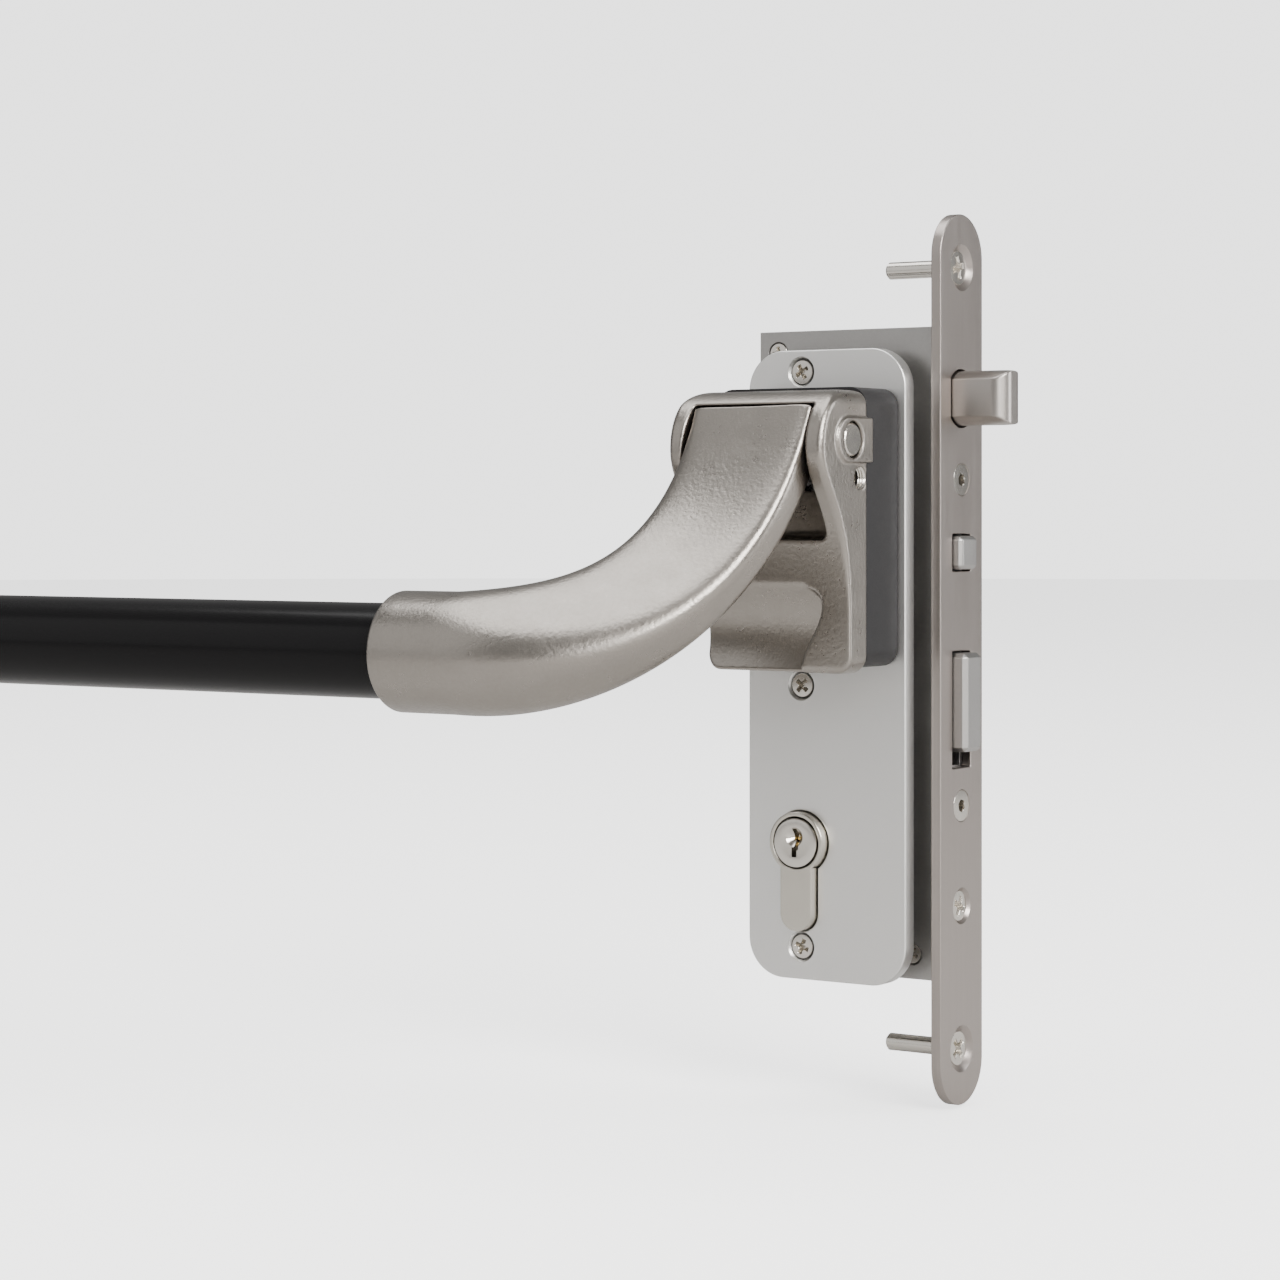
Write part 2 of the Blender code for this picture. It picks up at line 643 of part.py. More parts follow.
def add_bracket(name, mirrored, screws):
    """The cast bracket: two ears, a bridge over the arm, a bay for it and a scooped pocket."""
    bracket = add(name, slab(head_profile(), PLANE_YZ, HEAD_LEFT, HEAD_RIGHT), "cast_nickel", mirrored)
    half_arm = ARM_WIDTH / 2 + RUNNING
    left, right = HEAD_X - half_arm - BAY_EASE, HEAD_X + half_arm
    bridge = FOLLOWER_Z + BRIDGE_BOTTOM
    wall_top = FOLLOWER_Z + BAY_WALL_TOP
    front = BACK_Y - EAR_DEPTH - 5 * MM
    cut(bracket, block((left, front, wall_top), (right, BACK_Y + MM, bridge)), mirrored)
    ledge = FOLLOWER_Z + BAY_BOTTOM
    cut(bracket, block((left, front, ledge), (right, BACK_Y - BAY_WALL, wall_top + 0.1 * MM)), mirrored)
    corner_cutters(bracket, mirrored)
    pocket_y = BACK_Y - BODY_DEPTH + POCKET_DEPTH - POCKET_RADIUS
    pocket_z = HEAD_BOTTOM + 8.9 * MM
    pocket_end = HEAD_RIGHT - 15 * MM
    levels = (
        (POCKET_RADIUS, HEAD_LEFT - MM, 0),
        (POCKET_RADIUS, pocket_end, 0.4),
        (POCKET_RADIUS - 5 * MM, pocket_end + 2 * MM, 0.4),
    )
    rings = []
    for radius, x, slant in levels:
        ring = arc((0, 0), radius, 0, 360, 37)[:-1]
        rings.append([(x + slant * z, pocket_y + y, pocket_z + z) for y, z in ring])
    cut(bracket, loft(rings), mirrored)
    plate = slab(boss_outline(), PLANE_YZ, HEAD_RIGHT - 0.1 * MM, HEAD_RIGHT + BOSS_PROUD)
    join(bracket, plate, mirrored)
    bore = PIN_DIAMETER / 2 + TOUCH
    ends = (HEAD_LEFT - 2 * MM, PIVOT_Y, PIVOT_Z), (HEAD_RIGHT + 3 * MM, PIVOT_Y, PIVOT_Z)
    cut(bracket, rod(*ends, bore, segments=24), mirrored)
    screw_y = BACK_Y - 3.3 * MM
    screw_z = PIVOT_Z - SET_SCREW_DROP
    hole = rod(
        (right - MM, screw_y, screw_z), (HEAD_RIGHT + MM, screw_y, screw_z), SET_SCREW / 2 + TOUCH, segments=16
    )
    cut(bracket, hole, mirrored)
    for x, z in screws.values():
        reach = BACK_Y - SCREW_INTO_BRACKET - TOUCH
        cut(bracket, rod((x, BACK_Y + MM, z), (x, reach, z), SCREW_SHANK / 2 + TOUCH, segments=16), mirrored)


def corner_cutters(bracket, mirrored):
    """Round the four corners of the bracket as seen from the front."""
    outer = rounded_rectangle(HEAD_LEFT, HEAD_RIGHT, HEAD_BOTTOM, HEAD_TOP, HEAD_CORNER)
    depth = BACK_Y - EAR_DEPTH - MM, BACK_Y + MM
    keep = slab(outer, PLANE_XZ, *depth)
    boolean(bracket, keep, "INTERSECT", mirrored)


def add_bracket_screws(prefix, mirrored, screws):
    """Screws from the back of the plate, through the spacer, into the casting."""
    length = PLATE_THICKNESS + SPACER_DEPTH + SCREW_INTO_BRACKET
    for label, (x, z) in screws.items():
        name = f"{prefix}bracket_screw_{label}"
        countersunk(name, (x, 0, z), "+Y", length, "bright_steel", mirrored=mirrored)


def add_pin(prefix, mirrored):
    """The pivot pin and the set screw that locks it."""
    right, left = HEAD_RIGHT + BOSS_PROUD - 0.3 * MM, HEAD_LEFT + 0.3 * MM
    radius, chamfer = PIN_DIAMETER / 2, 0.5 * MM
    length = right - left
    profile = [
        (0, 0),
        (radius - chamfer, 0),
        (radius, -chamfer),
        (radius, chamfer - length),
        (radius - chamfer, -length),
        (0, -length),
    ]
    turned(f"{prefix}pivot_pin", profile, (right, PIVOT_Y, PIVOT_Z), "+X", "bright_steel", mirrored, 24)
    place = (HEAD_RIGHT - 0.8 * MM, BACK_Y - 3.3 * MM, PIVOT_Z - SET_SCREW_DROP)
    radius = SET_SCREW / 2
    depth = EAR - 1.2 * MM
    profile = [(0, 0), (radius - 0.4 * MM, 0), (radius, -0.4 * MM), (radius, -depth), (0, -depth)]
    turned(f"{prefix}pin_set_screw", profile, place, "+X", "bright_steel", mirrored, 16)


# Lever arms and bar


def arm_curve():
    """The four control points of the lever arm's middle line."""
    down = Vector((0, -math.sin(ARM_LEAN), -math.cos(ARM_LEAN)))
    out = Vector((0, -math.cos(ARM_LEAN), math.sin(ARM_LEAN)))
    edge = Vector((HEAD_X, PIVOT_Y - ARM_TOP_DEPTH, PIVOT_Z + ARM_TOP_HEIGHT))
    start = edge - out * (ARM_THICKNESS / 2)
    end = Vector((SOCKET_MOUTH_X + SOCKET_STRAIGHT, BAR_Y, BAR_Z))
    first = start + down * ARM_SHANK + Vector((0.8 * MM, 0, 0))
    return start, first, end + Vector((ARM_SWEEP, 0, 0)), end


def arm_sections(rows=12, around=24):
    """Rings from the flat hinge end to the round socket."""
    start, first, second, end = arm_curve()
    out_hinge = Vector((0, -math.cos(ARM_LEAN), math.sin(ARM_LEAN)))
    out_socket = Vector((0, -math.sqrt(0.5), math.sqrt(0.5)))
    angles = np.linspace(0, 2 * math.pi, around, endpoint=False).tolist()
    rings = []
    for t in np.linspace(0, 1, rows).tolist():
        centre = (1 - t) ** 3 * start + 3 * t * (1 - t) ** 2 * first
        centre = centre + 3 * t * t * (1 - t) * second + t**3 * end
        along = (1 - t) ** 2 * (first - start) + 2 * t * (1 - t) * (second - first) + t * t * (end - second)
        along.normalize()
        ease = t * t * (3 - 2 * t)
        out = out_hinge.lerp(out_socket, ease)
        out = (out - along * out.dot(along)).normalized()
        side = out.cross(along)
        half_width = ARM_WIDTH / 2 + (SOCKET_RADIUS - ARM_WIDTH / 2) * ease**1.5
        half_depth = ARM_THICKNESS / 2 + (SOCKET_RADIUS - ARM_THICKNESS / 2) * ease**1.4
        power = 2 / (8 + (2 - 8) * ease**0.7)
        rings.append(ring(centre, side * half_width, out * half_depth, power, angles))
    mouth = Vector((SOCKET_MOUTH_X, BAR_Y, BAR_Z))
    side, out = Vector((0, -math.sqrt(0.5), -math.sqrt(0.5))), out_socket
    for inset, shrink in ((0.8 * MM, 0), (0, 0.8 * MM)):
        size = SOCKET_RADIUS - shrink
        rings.append(ring(mouth + Vector((inset, 0, 0)), side * size, out * size, 1, angles))
    return rings


def ring(centre, side, out, power, angles):
    """A superellipse about a centre: a circle at power 1, squarer below it."""
    points = []
    for angle in angles:
        cos, sin = math.cos(angle), math.sin(angle)
        u = math.copysign(abs(cos) ** power, cos)
        v = math.copysign(abs(sin) ** power, sin)
        points.append(centre + side * u + out * v)
    return points


def add_arm(name, mirrored):
    """A lever arm with its hub and socket; the lock-side one also has the driving nose."""
    arm = add(name, loft(arm_sections()), "cast_nickel", mirrored)
    half = ARM_WIDTH / 2 - 0.1 * MM
    left, right = HEAD_X - half, HEAD_X + half
    hub = rod((left, PIVOT_Y, PIVOT_Z), (right, PIVOT_Y, PIVOT_Z), HUB_RADIUS, segments=32)
    join(arm, hub, mirrored)
    if not mirrored:
        lean = -BAR_TRAVEL / 2
        outline = lever_outline((PIVOT_Y, PIVOT_Z), lean, DRIVE_RADIUS, 2 * MM, NOSE_TIP)
        middle = SLIDER_LEFT + SLIDER_WIDTH / 2
        join(arm, slab(outline, PLANE_YZ, middle - NOSE_WIDTH / 2, middle + NOSE_WIDTH / 2))
    cut(arm, rod((left - MM, PIVOT_Y, PIVOT_Z), (right + MM, PIVOT_Y, PIVOT_Z), BUSH_OUTER + TOUCH), mirrored)
    bore = BAR_DIAMETER / 2 + TOUCH
    mouth = (SOCKET_MOUTH_X - MM, BAR_Y, BAR_Z)
    floor = (SOCKET_MOUTH_X + SOCKET_DEPTH, BAR_Y, BAR_Z)
    cut(arm, rod(mouth, floor, bore, segments=32), mirrored)
    grub_x = SOCKET_MOUTH_X + GRUB_FROM_MOUTH
    outside = (grub_x, BAR_Y + SOCKET_RADIUS + MM, BAR_Z)
    cut(arm, rod((grub_x, BAR_Y + bore / 2, BAR_Z), outside, GRUB / 2 + TOUCH, segments=16), mirrored)
    return arm


def add_arm_fittings(prefix, mirrored):
    """Two bushes on the pin and the grub screw in the socket."""
    half = ARM_WIDTH / 2 - 0.3 * MM
    made = []
    for label, near, far in (("left", -half, BUSH_LENGTH - half), ("right", half - BUSH_LENGTH, half)):
        start, end = (HEAD_X + near, PIVOT_Y, PIVOT_Z), (HEAD_X + far, PIVOT_Y, PIVOT_Z)
        bush = add(f"{prefix}bush_{label}", rod(start, end, BUSH_OUTER), "nylon", mirrored)
        through = (HEAD_X + near - MM, PIVOT_Y, PIVOT_Z), (HEAD_X + far + MM, PIVOT_Y, PIVOT_Z)
        cut(bush, rod(*through, BUSH_INNER), mirrored)
        made.append(bush)
    place = (SOCKET_MOUTH_X + GRUB_FROM_MOUTH, BAR_Y + SOCKET_RADIUS - 0.4 * MM, BAR_Z)
    depth = SOCKET_WALL - 0.6 * MM
    profile = [(0, 0), (GRUB / 2 - 0.4 * MM, 0), (GRUB / 2, -0.4 * MM), (GRUB / 2, -depth), (0, -depth)]
    made.append(turned(f"{prefix}bar_grub_screw", profile, place, "+Y", "bright_steel", mirrored, 16))
    return made


def add_bar():
    """The tube between the two sockets."""
    right = SOCKET_MOUTH_X + SOCKET_DEPTH - MM
    left = 2 * MIRROR_X - right
    solid = rod((left, BAR_Y, BAR_Z), (right, BAR_Y, BAR_Z), BAR_DIAMETER / 2, segments=32)
    tube = add("bar_tube", solid, "black_lacquer")
    through = (left - MM, BAR_Y, BAR_Z), (right + MM, BAR_Y, BAR_Z)
    cut(tube, rod(*through, BAR_DIAMETER / 2 - BAR_WALL, segments=32))
    return tube


# Drive


def add_drive():
    """Slider, crank and spindle in the lock-side spacer, and the slider's return spring."""
    lean = BAR_TRAVEL / 2
    nose_y = PIVOT_Y + DRIVE_RADIUS * math.cos(lean)
    nose_z = PIVOT_Z - DRIVE_RADIUS * math.sin(lean)
    crank_z = FOLLOWER_Z - CRANK_RADIUS * math.sin(FOLLOWER_LEAN)
    left, right = SLIDER_LEFT, SLIDER_LEFT + SLIDER_WIDTH
    spine_front = PIVOT_Y + DRIVE_RADIUS + NOSE_TIP + RUNNING
    spine_back = -PLATE_THICKNESS - 0.9 * MM
    jaw_front = nose_y - 2.7 * MM
    gap = NOSE_TIP + RUNNING
    top = nose_z + gap + 2.5 * MM
    fork_low, fork_high = crank_z - CRANK_TIP - RUNNING, crank_z + CRANK_TIP + 1.4 * MM
    bottom = fork_low - 3 * MM
    slider = add("drive_slider", block((left, spine_front, bottom), (right, spine_back, top)), "stainless")
    embed = spine_front + 0.5 * MM
    crank_front = CRANK_LAYER[0]
    jaws = (
        (jaw_front, nose_z + gap, top - 0.01 * MM),
        (jaw_front, nose_z - gap - 3 * MM, nose_z - gap),
        (crank_front, bottom + 0.01 * MM, fork_low),
        (crank_front, fork_high, fork_high + 2.5 * MM),
    )
    for front, low, high in jaws:
        join(slider, block((left + 0.05 * MM, front, low), (right - 0.05 * MM, embed, high)))
    spring_x = (left + right) / 2
    spring_y = (crank_front + spine_back) / 2
    floor = HEAD_BOTTOM + 6 * MM + TOUCH
    ends = (spring_x, spring_y, floor), (spring_x, spring_y, bottom - TOUCH)
    coil("return_spring", *ends, SPRING_DIAMETER / 2, 7, 0.9 * MM, "spring_steel")
    hang(axis_empty("drive_slide_axis", (spring_x, spine_front, nose_z)), [slider])
    crank = add_crank()
    spindle = add("spindle", spindle_block(0, SPINDLE_FRONT, SHEET_INNER_Y - 0.6 * MM), "bright_steel")
    return crank, spindle


def spindle_block(grow, front, back):
    """The square spindle, or with grow the square hole for it."""
    half = SPINDLE / 2 + grow
    return block((LOCK_X - half, front, FOLLOWER_Z - half), (LOCK_X + half, back, FOLLOWER_Z + half))


def add_crank():
    """The crank on the spindle's front end, whose tip the slider lifts."""
    front, back = CRANK_LAYER
    hub = rod((LOCK_X, front, FOLLOWER_Z), (LOCK_X, back, FOLLOWER_Z), CRANK_HUB, segments=28)
    crank = add("crank", hub, "stainless")
    outline = lever_outline((LOCK_X, FOLLOWER_Z), -FOLLOWER_LEAN, CRANK_RADIUS, 1.7 * MM, CRANK_TIP)
    join(crank, slab(outline, PLANE_XZ, front + 0.1 * MM, back - 0.1 * MM))
    cut(crank, spindle_block(TOUCH * 0.8, front - MM, back + MM))
    return crank


# Mortice lock


def forend_outline():
    """Upright plate with fully round ends, in the YZ plane."""
    half = FOREND_WIDTH / 2
    top, bottom = FOLLOWER_Z + FOREND_ABOVE, CYLINDER_Z - FOREND_BELOW_CYLINDER
    points = arc((LOCK_MIDDLE, top - half), half, 0, 180, 17)
    return points + arc((LOCK_MIDDLE, bottom + half), half, 180, 360, 17)


def bolt_outline(grow):
    """Section of the deadbolt: flat sides, round top and bottom."""
    half_y, half_z = BOLT_THICKNESS / 2 + grow, BOLT_HEIGHT / 2 + grow
    rise = 2.6 * MM  # height of the round top above the flat sides
    radius = (half_y**2 + rise**2) / (2 * rise)
    spread = math.degrees(math.asin(half_y / radius))
    points = arc((LOCK_MIDDLE, BOLT_Z + half_z - radius), radius, 90 - spread, 90 + spread, 9)
    return points + arc((LOCK_MIDDLE, BOLT_Z - half_z + radius), radius, 270 - spread, 270 + spread, 9)


def add_forend():
    """The forend with its openings and screws."""
    left = FOREND_X - FOREND_THICKNESS
    forend = add("forend", slab(forend_outline(), PLANE_YZ, left, FOREND_X), "stainless")
    past = left - MM, FOREND_X + MM
    cut(forend, slab(bolt_outline(0.5 * MM), PLANE_YZ, *past))
    half = LATCH_THICKNESS / 2 + TOUCH
    control = CONTROL_HEIGHT / 2 + TOUCH
    low = (past[0], LOCK_MIDDLE - half, CONTROL_Z - control)
    high = (past[1], LOCK_MIDDLE + half, CONTROL_Z + control)
    cut(forend, block(low, high))
    bottom = CROSS_SLOT_TOP_Z - CROSS_SLOT_HEIGHT
    cut(forend, block((past[0], LOCK_MIDDLE - half, bottom), (past[1], LOCK_MIDDLE + half, CROSS_SLOT_TOP_Z)))
    screws = {
        "forend_screw_top": (FOLLOWER_Z + FOREND_SCREW_TOP, 9.4 * MM, 22 * MM, 0.9 * MM),
        "forend_screw_bottom": (CYLINDER_Z - FOREND_SCREW_DROP, 9.4 * MM, 22 * MM, 0.9 * MM),
        "case_screw_top": (FOLLOWER_Z + CASE_SCREW_TOP, 8.8 * MM, 9 * MM, 0.0),
        "case_screw_bottom": (CYLINDER_Z + CASE_SCREW_RISE, 8.8 * MM, 9 * MM, 0.0),
        "cylinder_screw": (CYLINDER_Z - CYLINDER_SCREW_DROP, 8.4 * MM, BACKSET + 3 * MM, 0.6 * MM),
    }
    for name, (z, head, length, sunk) in screws.items():
        cut(forend, countersink((FOREND_X, LOCK_MIDDLE, z), "+X", FOREND_THICKNESS + MM, head, sunk))
        countersunk(name, (FOREND_X - sunk, LOCK_MIDDLE, z), "+X", length, "bright_steel", head)


def add_case():
    """The folded lock case, open towards the cover, and the cover with its screws."""
    case_low = (CASE_LEFT, COVER_INNER_Y + TOUCH, CASE_BOTTOM)
    case = add("lock_case", block(case_low, (CASE_RIGHT, CASE_BACK_Y, CASE_TOP)), "stainless")
    sheet = CASE_SHEET
    hollow = block(
        (CASE_LEFT + sheet, 0, CASE_BOTTOM + sheet), (CASE_RIGHT - sheet, SHEET_INNER_Y, CASE_TOP - sheet)
    )
    cut(case, hollow)
    front = CASE_RIGHT - sheet - MM, CASE_RIGHT + MM
    cut(case, slab(bolt_outline(0.5 * MM), PLANE_YZ, *front))
    half = LATCH_THICKNESS / 2 + TOUCH
    control = CONTROL_HEIGHT / 2 + TOUCH
    low = (front[0], LOCK_MIDDLE - half, CONTROL_Z - control)
    high = (front[1], LOCK_MIDDLE + half, CONTROL_Z + control)
    cut(case, block(low, high))
    bottom = CROSS_SLOT_TOP_Z - CROSS_SLOT_HEIGHT
    cut(case, block((front[0], LOCK_MIDDLE - half, bottom), (front[1], LOCK_MIDDLE + half, CROSS_SLOT_TOP_Z)))
    heights = FOLLOWER_Z + CASE_SCREW_TOP, CYLINDER_Z + CASE_SCREW_RISE, CYLINDER_Z - CYLINDER_SCREW_DROP
    for z in heights:
        cut(case, rod((front[0], LOCK_MIDDLE, z), (front[1], LOCK_MIDDLE, z), 2.8 * MM, segments=16))
    stop_x = FOREND_X - BACKSET + 13.2 * MM
    stop = block(
        (stop_x, COVER_INNER_Y + 1.2 * MM, CONTROL_Z - 4 * MM),
        (stop_x + sheet, CASE_BACK_Y - sheet / 2, CONTROL_Z + 4 * MM),
    )
    join(case, stop)
    cover = add(
        "case_cover",
        block((CASE_LEFT, CASE_FRONT_Y, CASE_BOTTOM), (CASE_RIGHT, COVER_INNER_Y, CASE_TOP)),
        "stainless",
    )
    walls = ((case, SHEET_INNER_Y - MM, CASE_BACK_Y + MM), (cover, CASE_FRONT_Y - MM, COVER_INNER_Y + MM))
    for shell, low, high in walls:
        cut(shell, rod((LOCK_X, low, FOLLOWER_Z), (LOCK_X, high, FOLLOWER_Z), 8 * MM))
        cut(shell, slab(euro_outline(0.6 * MM), PLANE_XZ, low, high))
    add_cover_screws(case, cover)


def add_cover_screws(case, cover):
    """Three screws through the cover into pillars of the case."""
    places = {
        "top": (CASE_LEFT + 6 * MM, CASE_TOP - 6 * MM),
        "middle": (CASE_LEFT + 6 * MM, (FOLLOWER_Z + CYLINDER_Z) / 2 + 3 * MM),
        "bottom": (CASE_RIGHT - 8 * MM, CASE_BOTTOM + 7 * MM),
    }
    for label, (x, z) in places.items():
        front = (x, COVER_INNER_Y + TOUCH + 0.05 * MM, z)
        pillar = rod(front, (x, CASE_BACK_Y - CASE_SHEET / 2, z), 3.4 * MM, segments=16)
        join(case, pillar)
        head = 5.6 * MM
        hole = countersink((x, CASE_FRONT_Y, z), "-Y", 7 * MM + TOUCH, head)
        cut(case, hole)
        cut(cover, countersink((x, CASE_FRONT_Y, z), "-Y", 7 * MM + TOUCH, head))
        countersunk(f"case_cover_screw_{label}", (x, CASE_FRONT_Y, z), "-Y", 6.5 * MM, "bright_steel", head)


def add_follower():
    """The follower on the spindle: one arm to the deadbolt, one to the latch lever."""
    front, back = NEAR_LAYER[0], FAR_LAYER[1]
    hub = rod((LOCK_X, front, FOLLOWER_Z), (LOCK_X, back, FOLLOWER_Z), 9.4 * MM, segments=28)
    follower = add("follower", hub, "stainless")
    up = math.pi / 2 - FOLLOWER_LEAN
    bolt_arm = lever_outline((LOCK_X, FOLLOWER_Z), up, BOLT_ARM, 2.1 * MM, BOLT_ARM_TIP)
    join(follower, slab(bolt_arm, PLANE_XZ, NEAR_LAYER[0] + 0.2 * MM, NEAR_LAYER[1]))
    down = -math.pi / 2 - FOLLOWER_LEAN
    latch_arm = lever_outline((LOCK_X, FOLLOWER_Z), down, LATCH_ARM, 2.2 * MM, LATCH_ARM_TIP)
    join(follower, slab(latch_arm, PLANE_XZ, FAR_LAYER[0], FAR_LAYER[1] - 0.2 * MM))
    cut(follower, spindle_block(TOUCH * 0.8, front - MM, back + MM))
    return follower


def add_deadbolt():
    """The deadbolt, its tail notched for the follower's arm, and its spring."""
    right = FOREND_X + BOLT_THROW
    back = right - BOLT_LENGTH
    bolt = add("deadbolt", slab(bolt_outline(0), PLANE_YZ, back, right), "stainless")
    tip_x = LOCK_X + BOLT_ARM * math.sin(FOLLOWER_LEAN)
    tip_z = FOLLOWER_Z + BOLT_ARM * math.cos(FOLLOWER_LEAN)
    notch = BOLT_ARM_TIP + 0.8 * MM
    low, high = NEAR_LAYER[0] + 0.3 * MM, NEAR_LAYER[1]
    tail_bottom, tail_top = tip_z - 1.9 * MM, BOLT_Z + 5.6 * MM
    tail = block((tip_x - notch - 3 * MM, low, tail_bottom), (back + 2 * MM, high, tail_top))
    join(bolt, tail)
    notch_top = tip_z + BOLT_ARM * (1 - math.cos(FOLLOWER_LEAN)) + BOLT_ARM_TIP + 0.6 * MM
    cut(bolt, block((tip_x - notch, low - MM, tail_bottom - MM), (tip_x + notch, high + MM, notch_top)))
    spring_y = (FAR_LAYER[0] + FAR_LAYER[1]) / 2
    spring_z = BOLT_Z + 2.6 * MM
    ends = (CASE_LEFT + CASE_SHEET + TOUCH, spring_y, spring_z), (back - TOUCH, spring_y, spring_z)
    coil("deadbolt_spring", *ends, 1.9 * MM, 9, 0.7 * MM, "spring_steel")
    return bolt


def add_latch_lever():
    """The lever that turns the follower's push into a pull on the cross latch."""
    pivot = (LATCH_LEVER_X, LATCH_LEVER_Z)
    low, high = FAR_LAYER[0] + 0.2 * MM, FAR_LAYER[1] - 0.1 * MM
    boss = rod((pivot[0], low - 0.2 * MM, pivot[1]), (pivot[0], high + 0.1 * MM, pivot[1]), 4.4 * MM)
    lever = add("latch_lever", boss, "stainless")
    up = lever_outline(pivot, math.pi / 2 + LATCH_LEAN, LATCH_LEVER_UP, 2.1 * MM, LATCH_LEVER_TIP)
    join(lever, slab(up, PLANE_XZ, low, high))
    down = lever_outline(pivot, LATCH_LEAN - math.pi / 2, LATCH_LEVER_DOWN, 1.8 * MM, LATCH_LEVER_TIP)
    join(lever, slab(down, PLANE_XZ, low + 0.05 * MM, high - 0.05 * MM))
    cut(lever, rod((pivot[0], low - MM, pivot[1]), (pivot[0], high + MM, pivot[1]), 2 * MM + RUNNING))
    pin_front = (pivot[0], COVER_INNER_Y + TOUCH, pivot[1])
    pin_back = (pivot[0], SHEET_INNER_Y - TOUCH, pivot[1])
    pin = rod(pin_front, pin_back, 2 * MM, segments=16)
    add("latch_lever_pin", pin, "bright_steel")
    return lever


def add_cross_latch():
    """The cross latch on its sprung stem, and the carrier that draws it in."""
    half = LATCH_THICKNESS / 2
    right = FOREND_X + CROSS_THROW
    back = right - 22 * MM
    bottom = CROSS_TOP_Z - CROSS_HEIGHT
    near, far = LOCK_MIDDLE - half, LOCK_MIDDLE + half
    latch = add("cross_latch", block((back, near, bottom), (right, far, CROSS_TOP_Z)), "stainless")
    bevel = latch.modifiers.new("bevel", "BEVEL")
    bevel.width = 1.2 * MM
    bevel.segments = 1
    bevel.limit_method = "ANGLE"
    carrier_x = LATCH_LEVER_X + LATCH_LEVER_DOWN * math.sin(LATCH_LEAN)
    stem_z = CROSS_TOP_Z - CROSS_HEIGHT / 2
    plate = 2 * MM  # half the carrier's thickness
    nut = carrier_x - plate - TOUCH
    stem = (nut - 3.4 * MM, LOCK_MIDDLE, stem_z), (back + 2 * MM, LOCK_MIDDLE, stem_z)
    join(latch, rod(*stem, 2 * MM, segments=16))
    join(latch, rod((nut - 3 * MM, LOCK_MIDDLE, stem_z), (nut, LOCK_MIDDLE, stem_z), 3.8 * MM, segments=16))
    tip_z = LATCH_LEVER_Z - LATCH_LEVER_DOWN * math.cos(LATCH_LEAN)
    top = tip_z + 1.2 * MM
    carrier = add(
        "latch_carrier",
        block(
            (carrier_x - plate, near, bottom + 2 * MM),
            (carrier_x + plate, far, tip_z - LATCH_LEVER_TIP - MM),
        ),
        "stainless",
    )
    gap = LATCH_LEVER_TIP + 0.6 * MM
    for near_x, far_x in ((-gap - 2 * MM, -gap), (gap, gap + 2 * MM)):
        low = (carrier_x + near_x, FAR_LAYER[0], tip_z - LATCH_LEVER_TIP - 3.5 * MM)
        join(carrier, block(low, (carrier_x + far_x, FAR_LAYER[1] - 0.2 * MM, top)))
    bridge_low = (carrier_x - gap - 1 * MM, FAR_LAYER[0] + 0.1 * MM, tip_z - LATCH_LEVER_TIP - 3.4 * MM)
    bridge_high = (carrier_x + gap + 1 * MM, FAR_LAYER[1] - 0.3 * MM, tip_z - LATCH_LEVER_TIP - 1.05 * MM)
    join(carrier, block(bridge_low, bridge_high))
    through = (carrier_x - 6 * MM, LOCK_MIDDLE, stem_z), (carrier_x + 6 * MM, LOCK_MIDDLE, stem_z)
    cut(carrier, rod(*through, 2 * MM + RUNNING, segments=16))
    ends = (carrier_x + plate + TOUCH, LOCK_MIDDLE, stem_z), (back - TOUCH, LOCK_MIDDLE, stem_z)
    coil("cross_latch_spring", *ends, 3.4 * MM, 5, 0.7 * MM, "spring_steel")
    return latch, carrier


def add_control_latch():
    """The small latch that senses the strike, and its spring."""
    half = LATCH_THICKNESS / 2
    right = FOREND_X + CONTROL_THROW
    back = right - 19 * MM
    rise = CONTROL_HEIGHT / 2
    low, high = (back, LOCK_MIDDLE - half, CONTROL_Z - rise), (right, LOCK_MIDDLE + half, CONTROL_Z + rise)
    latch = add("control_latch", block(low, high), "stainless")
    bevel = latch.modifiers.new("bevel", "BEVEL")
    bevel.width = 1.0 * MM
    bevel.segments = 1
    bevel.limit_method = "ANGLE"
    stop_x = FOREND_X - BACKSET + 13.2 * MM + CASE_SHEET
    spring_y = (NEAR_LAYER[0] + NEAR_LAYER[1]) / 2 + 0.6 * MM
    ends = (stop_x + TOUCH, spring_y, CONTROL_Z), (back - TOUCH, spring_y, CONTROL_Z)
    coil("control_latch_spring", *ends, 1.9 * MM, 4, 0.6 * MM, "spring_steel")
    return latch


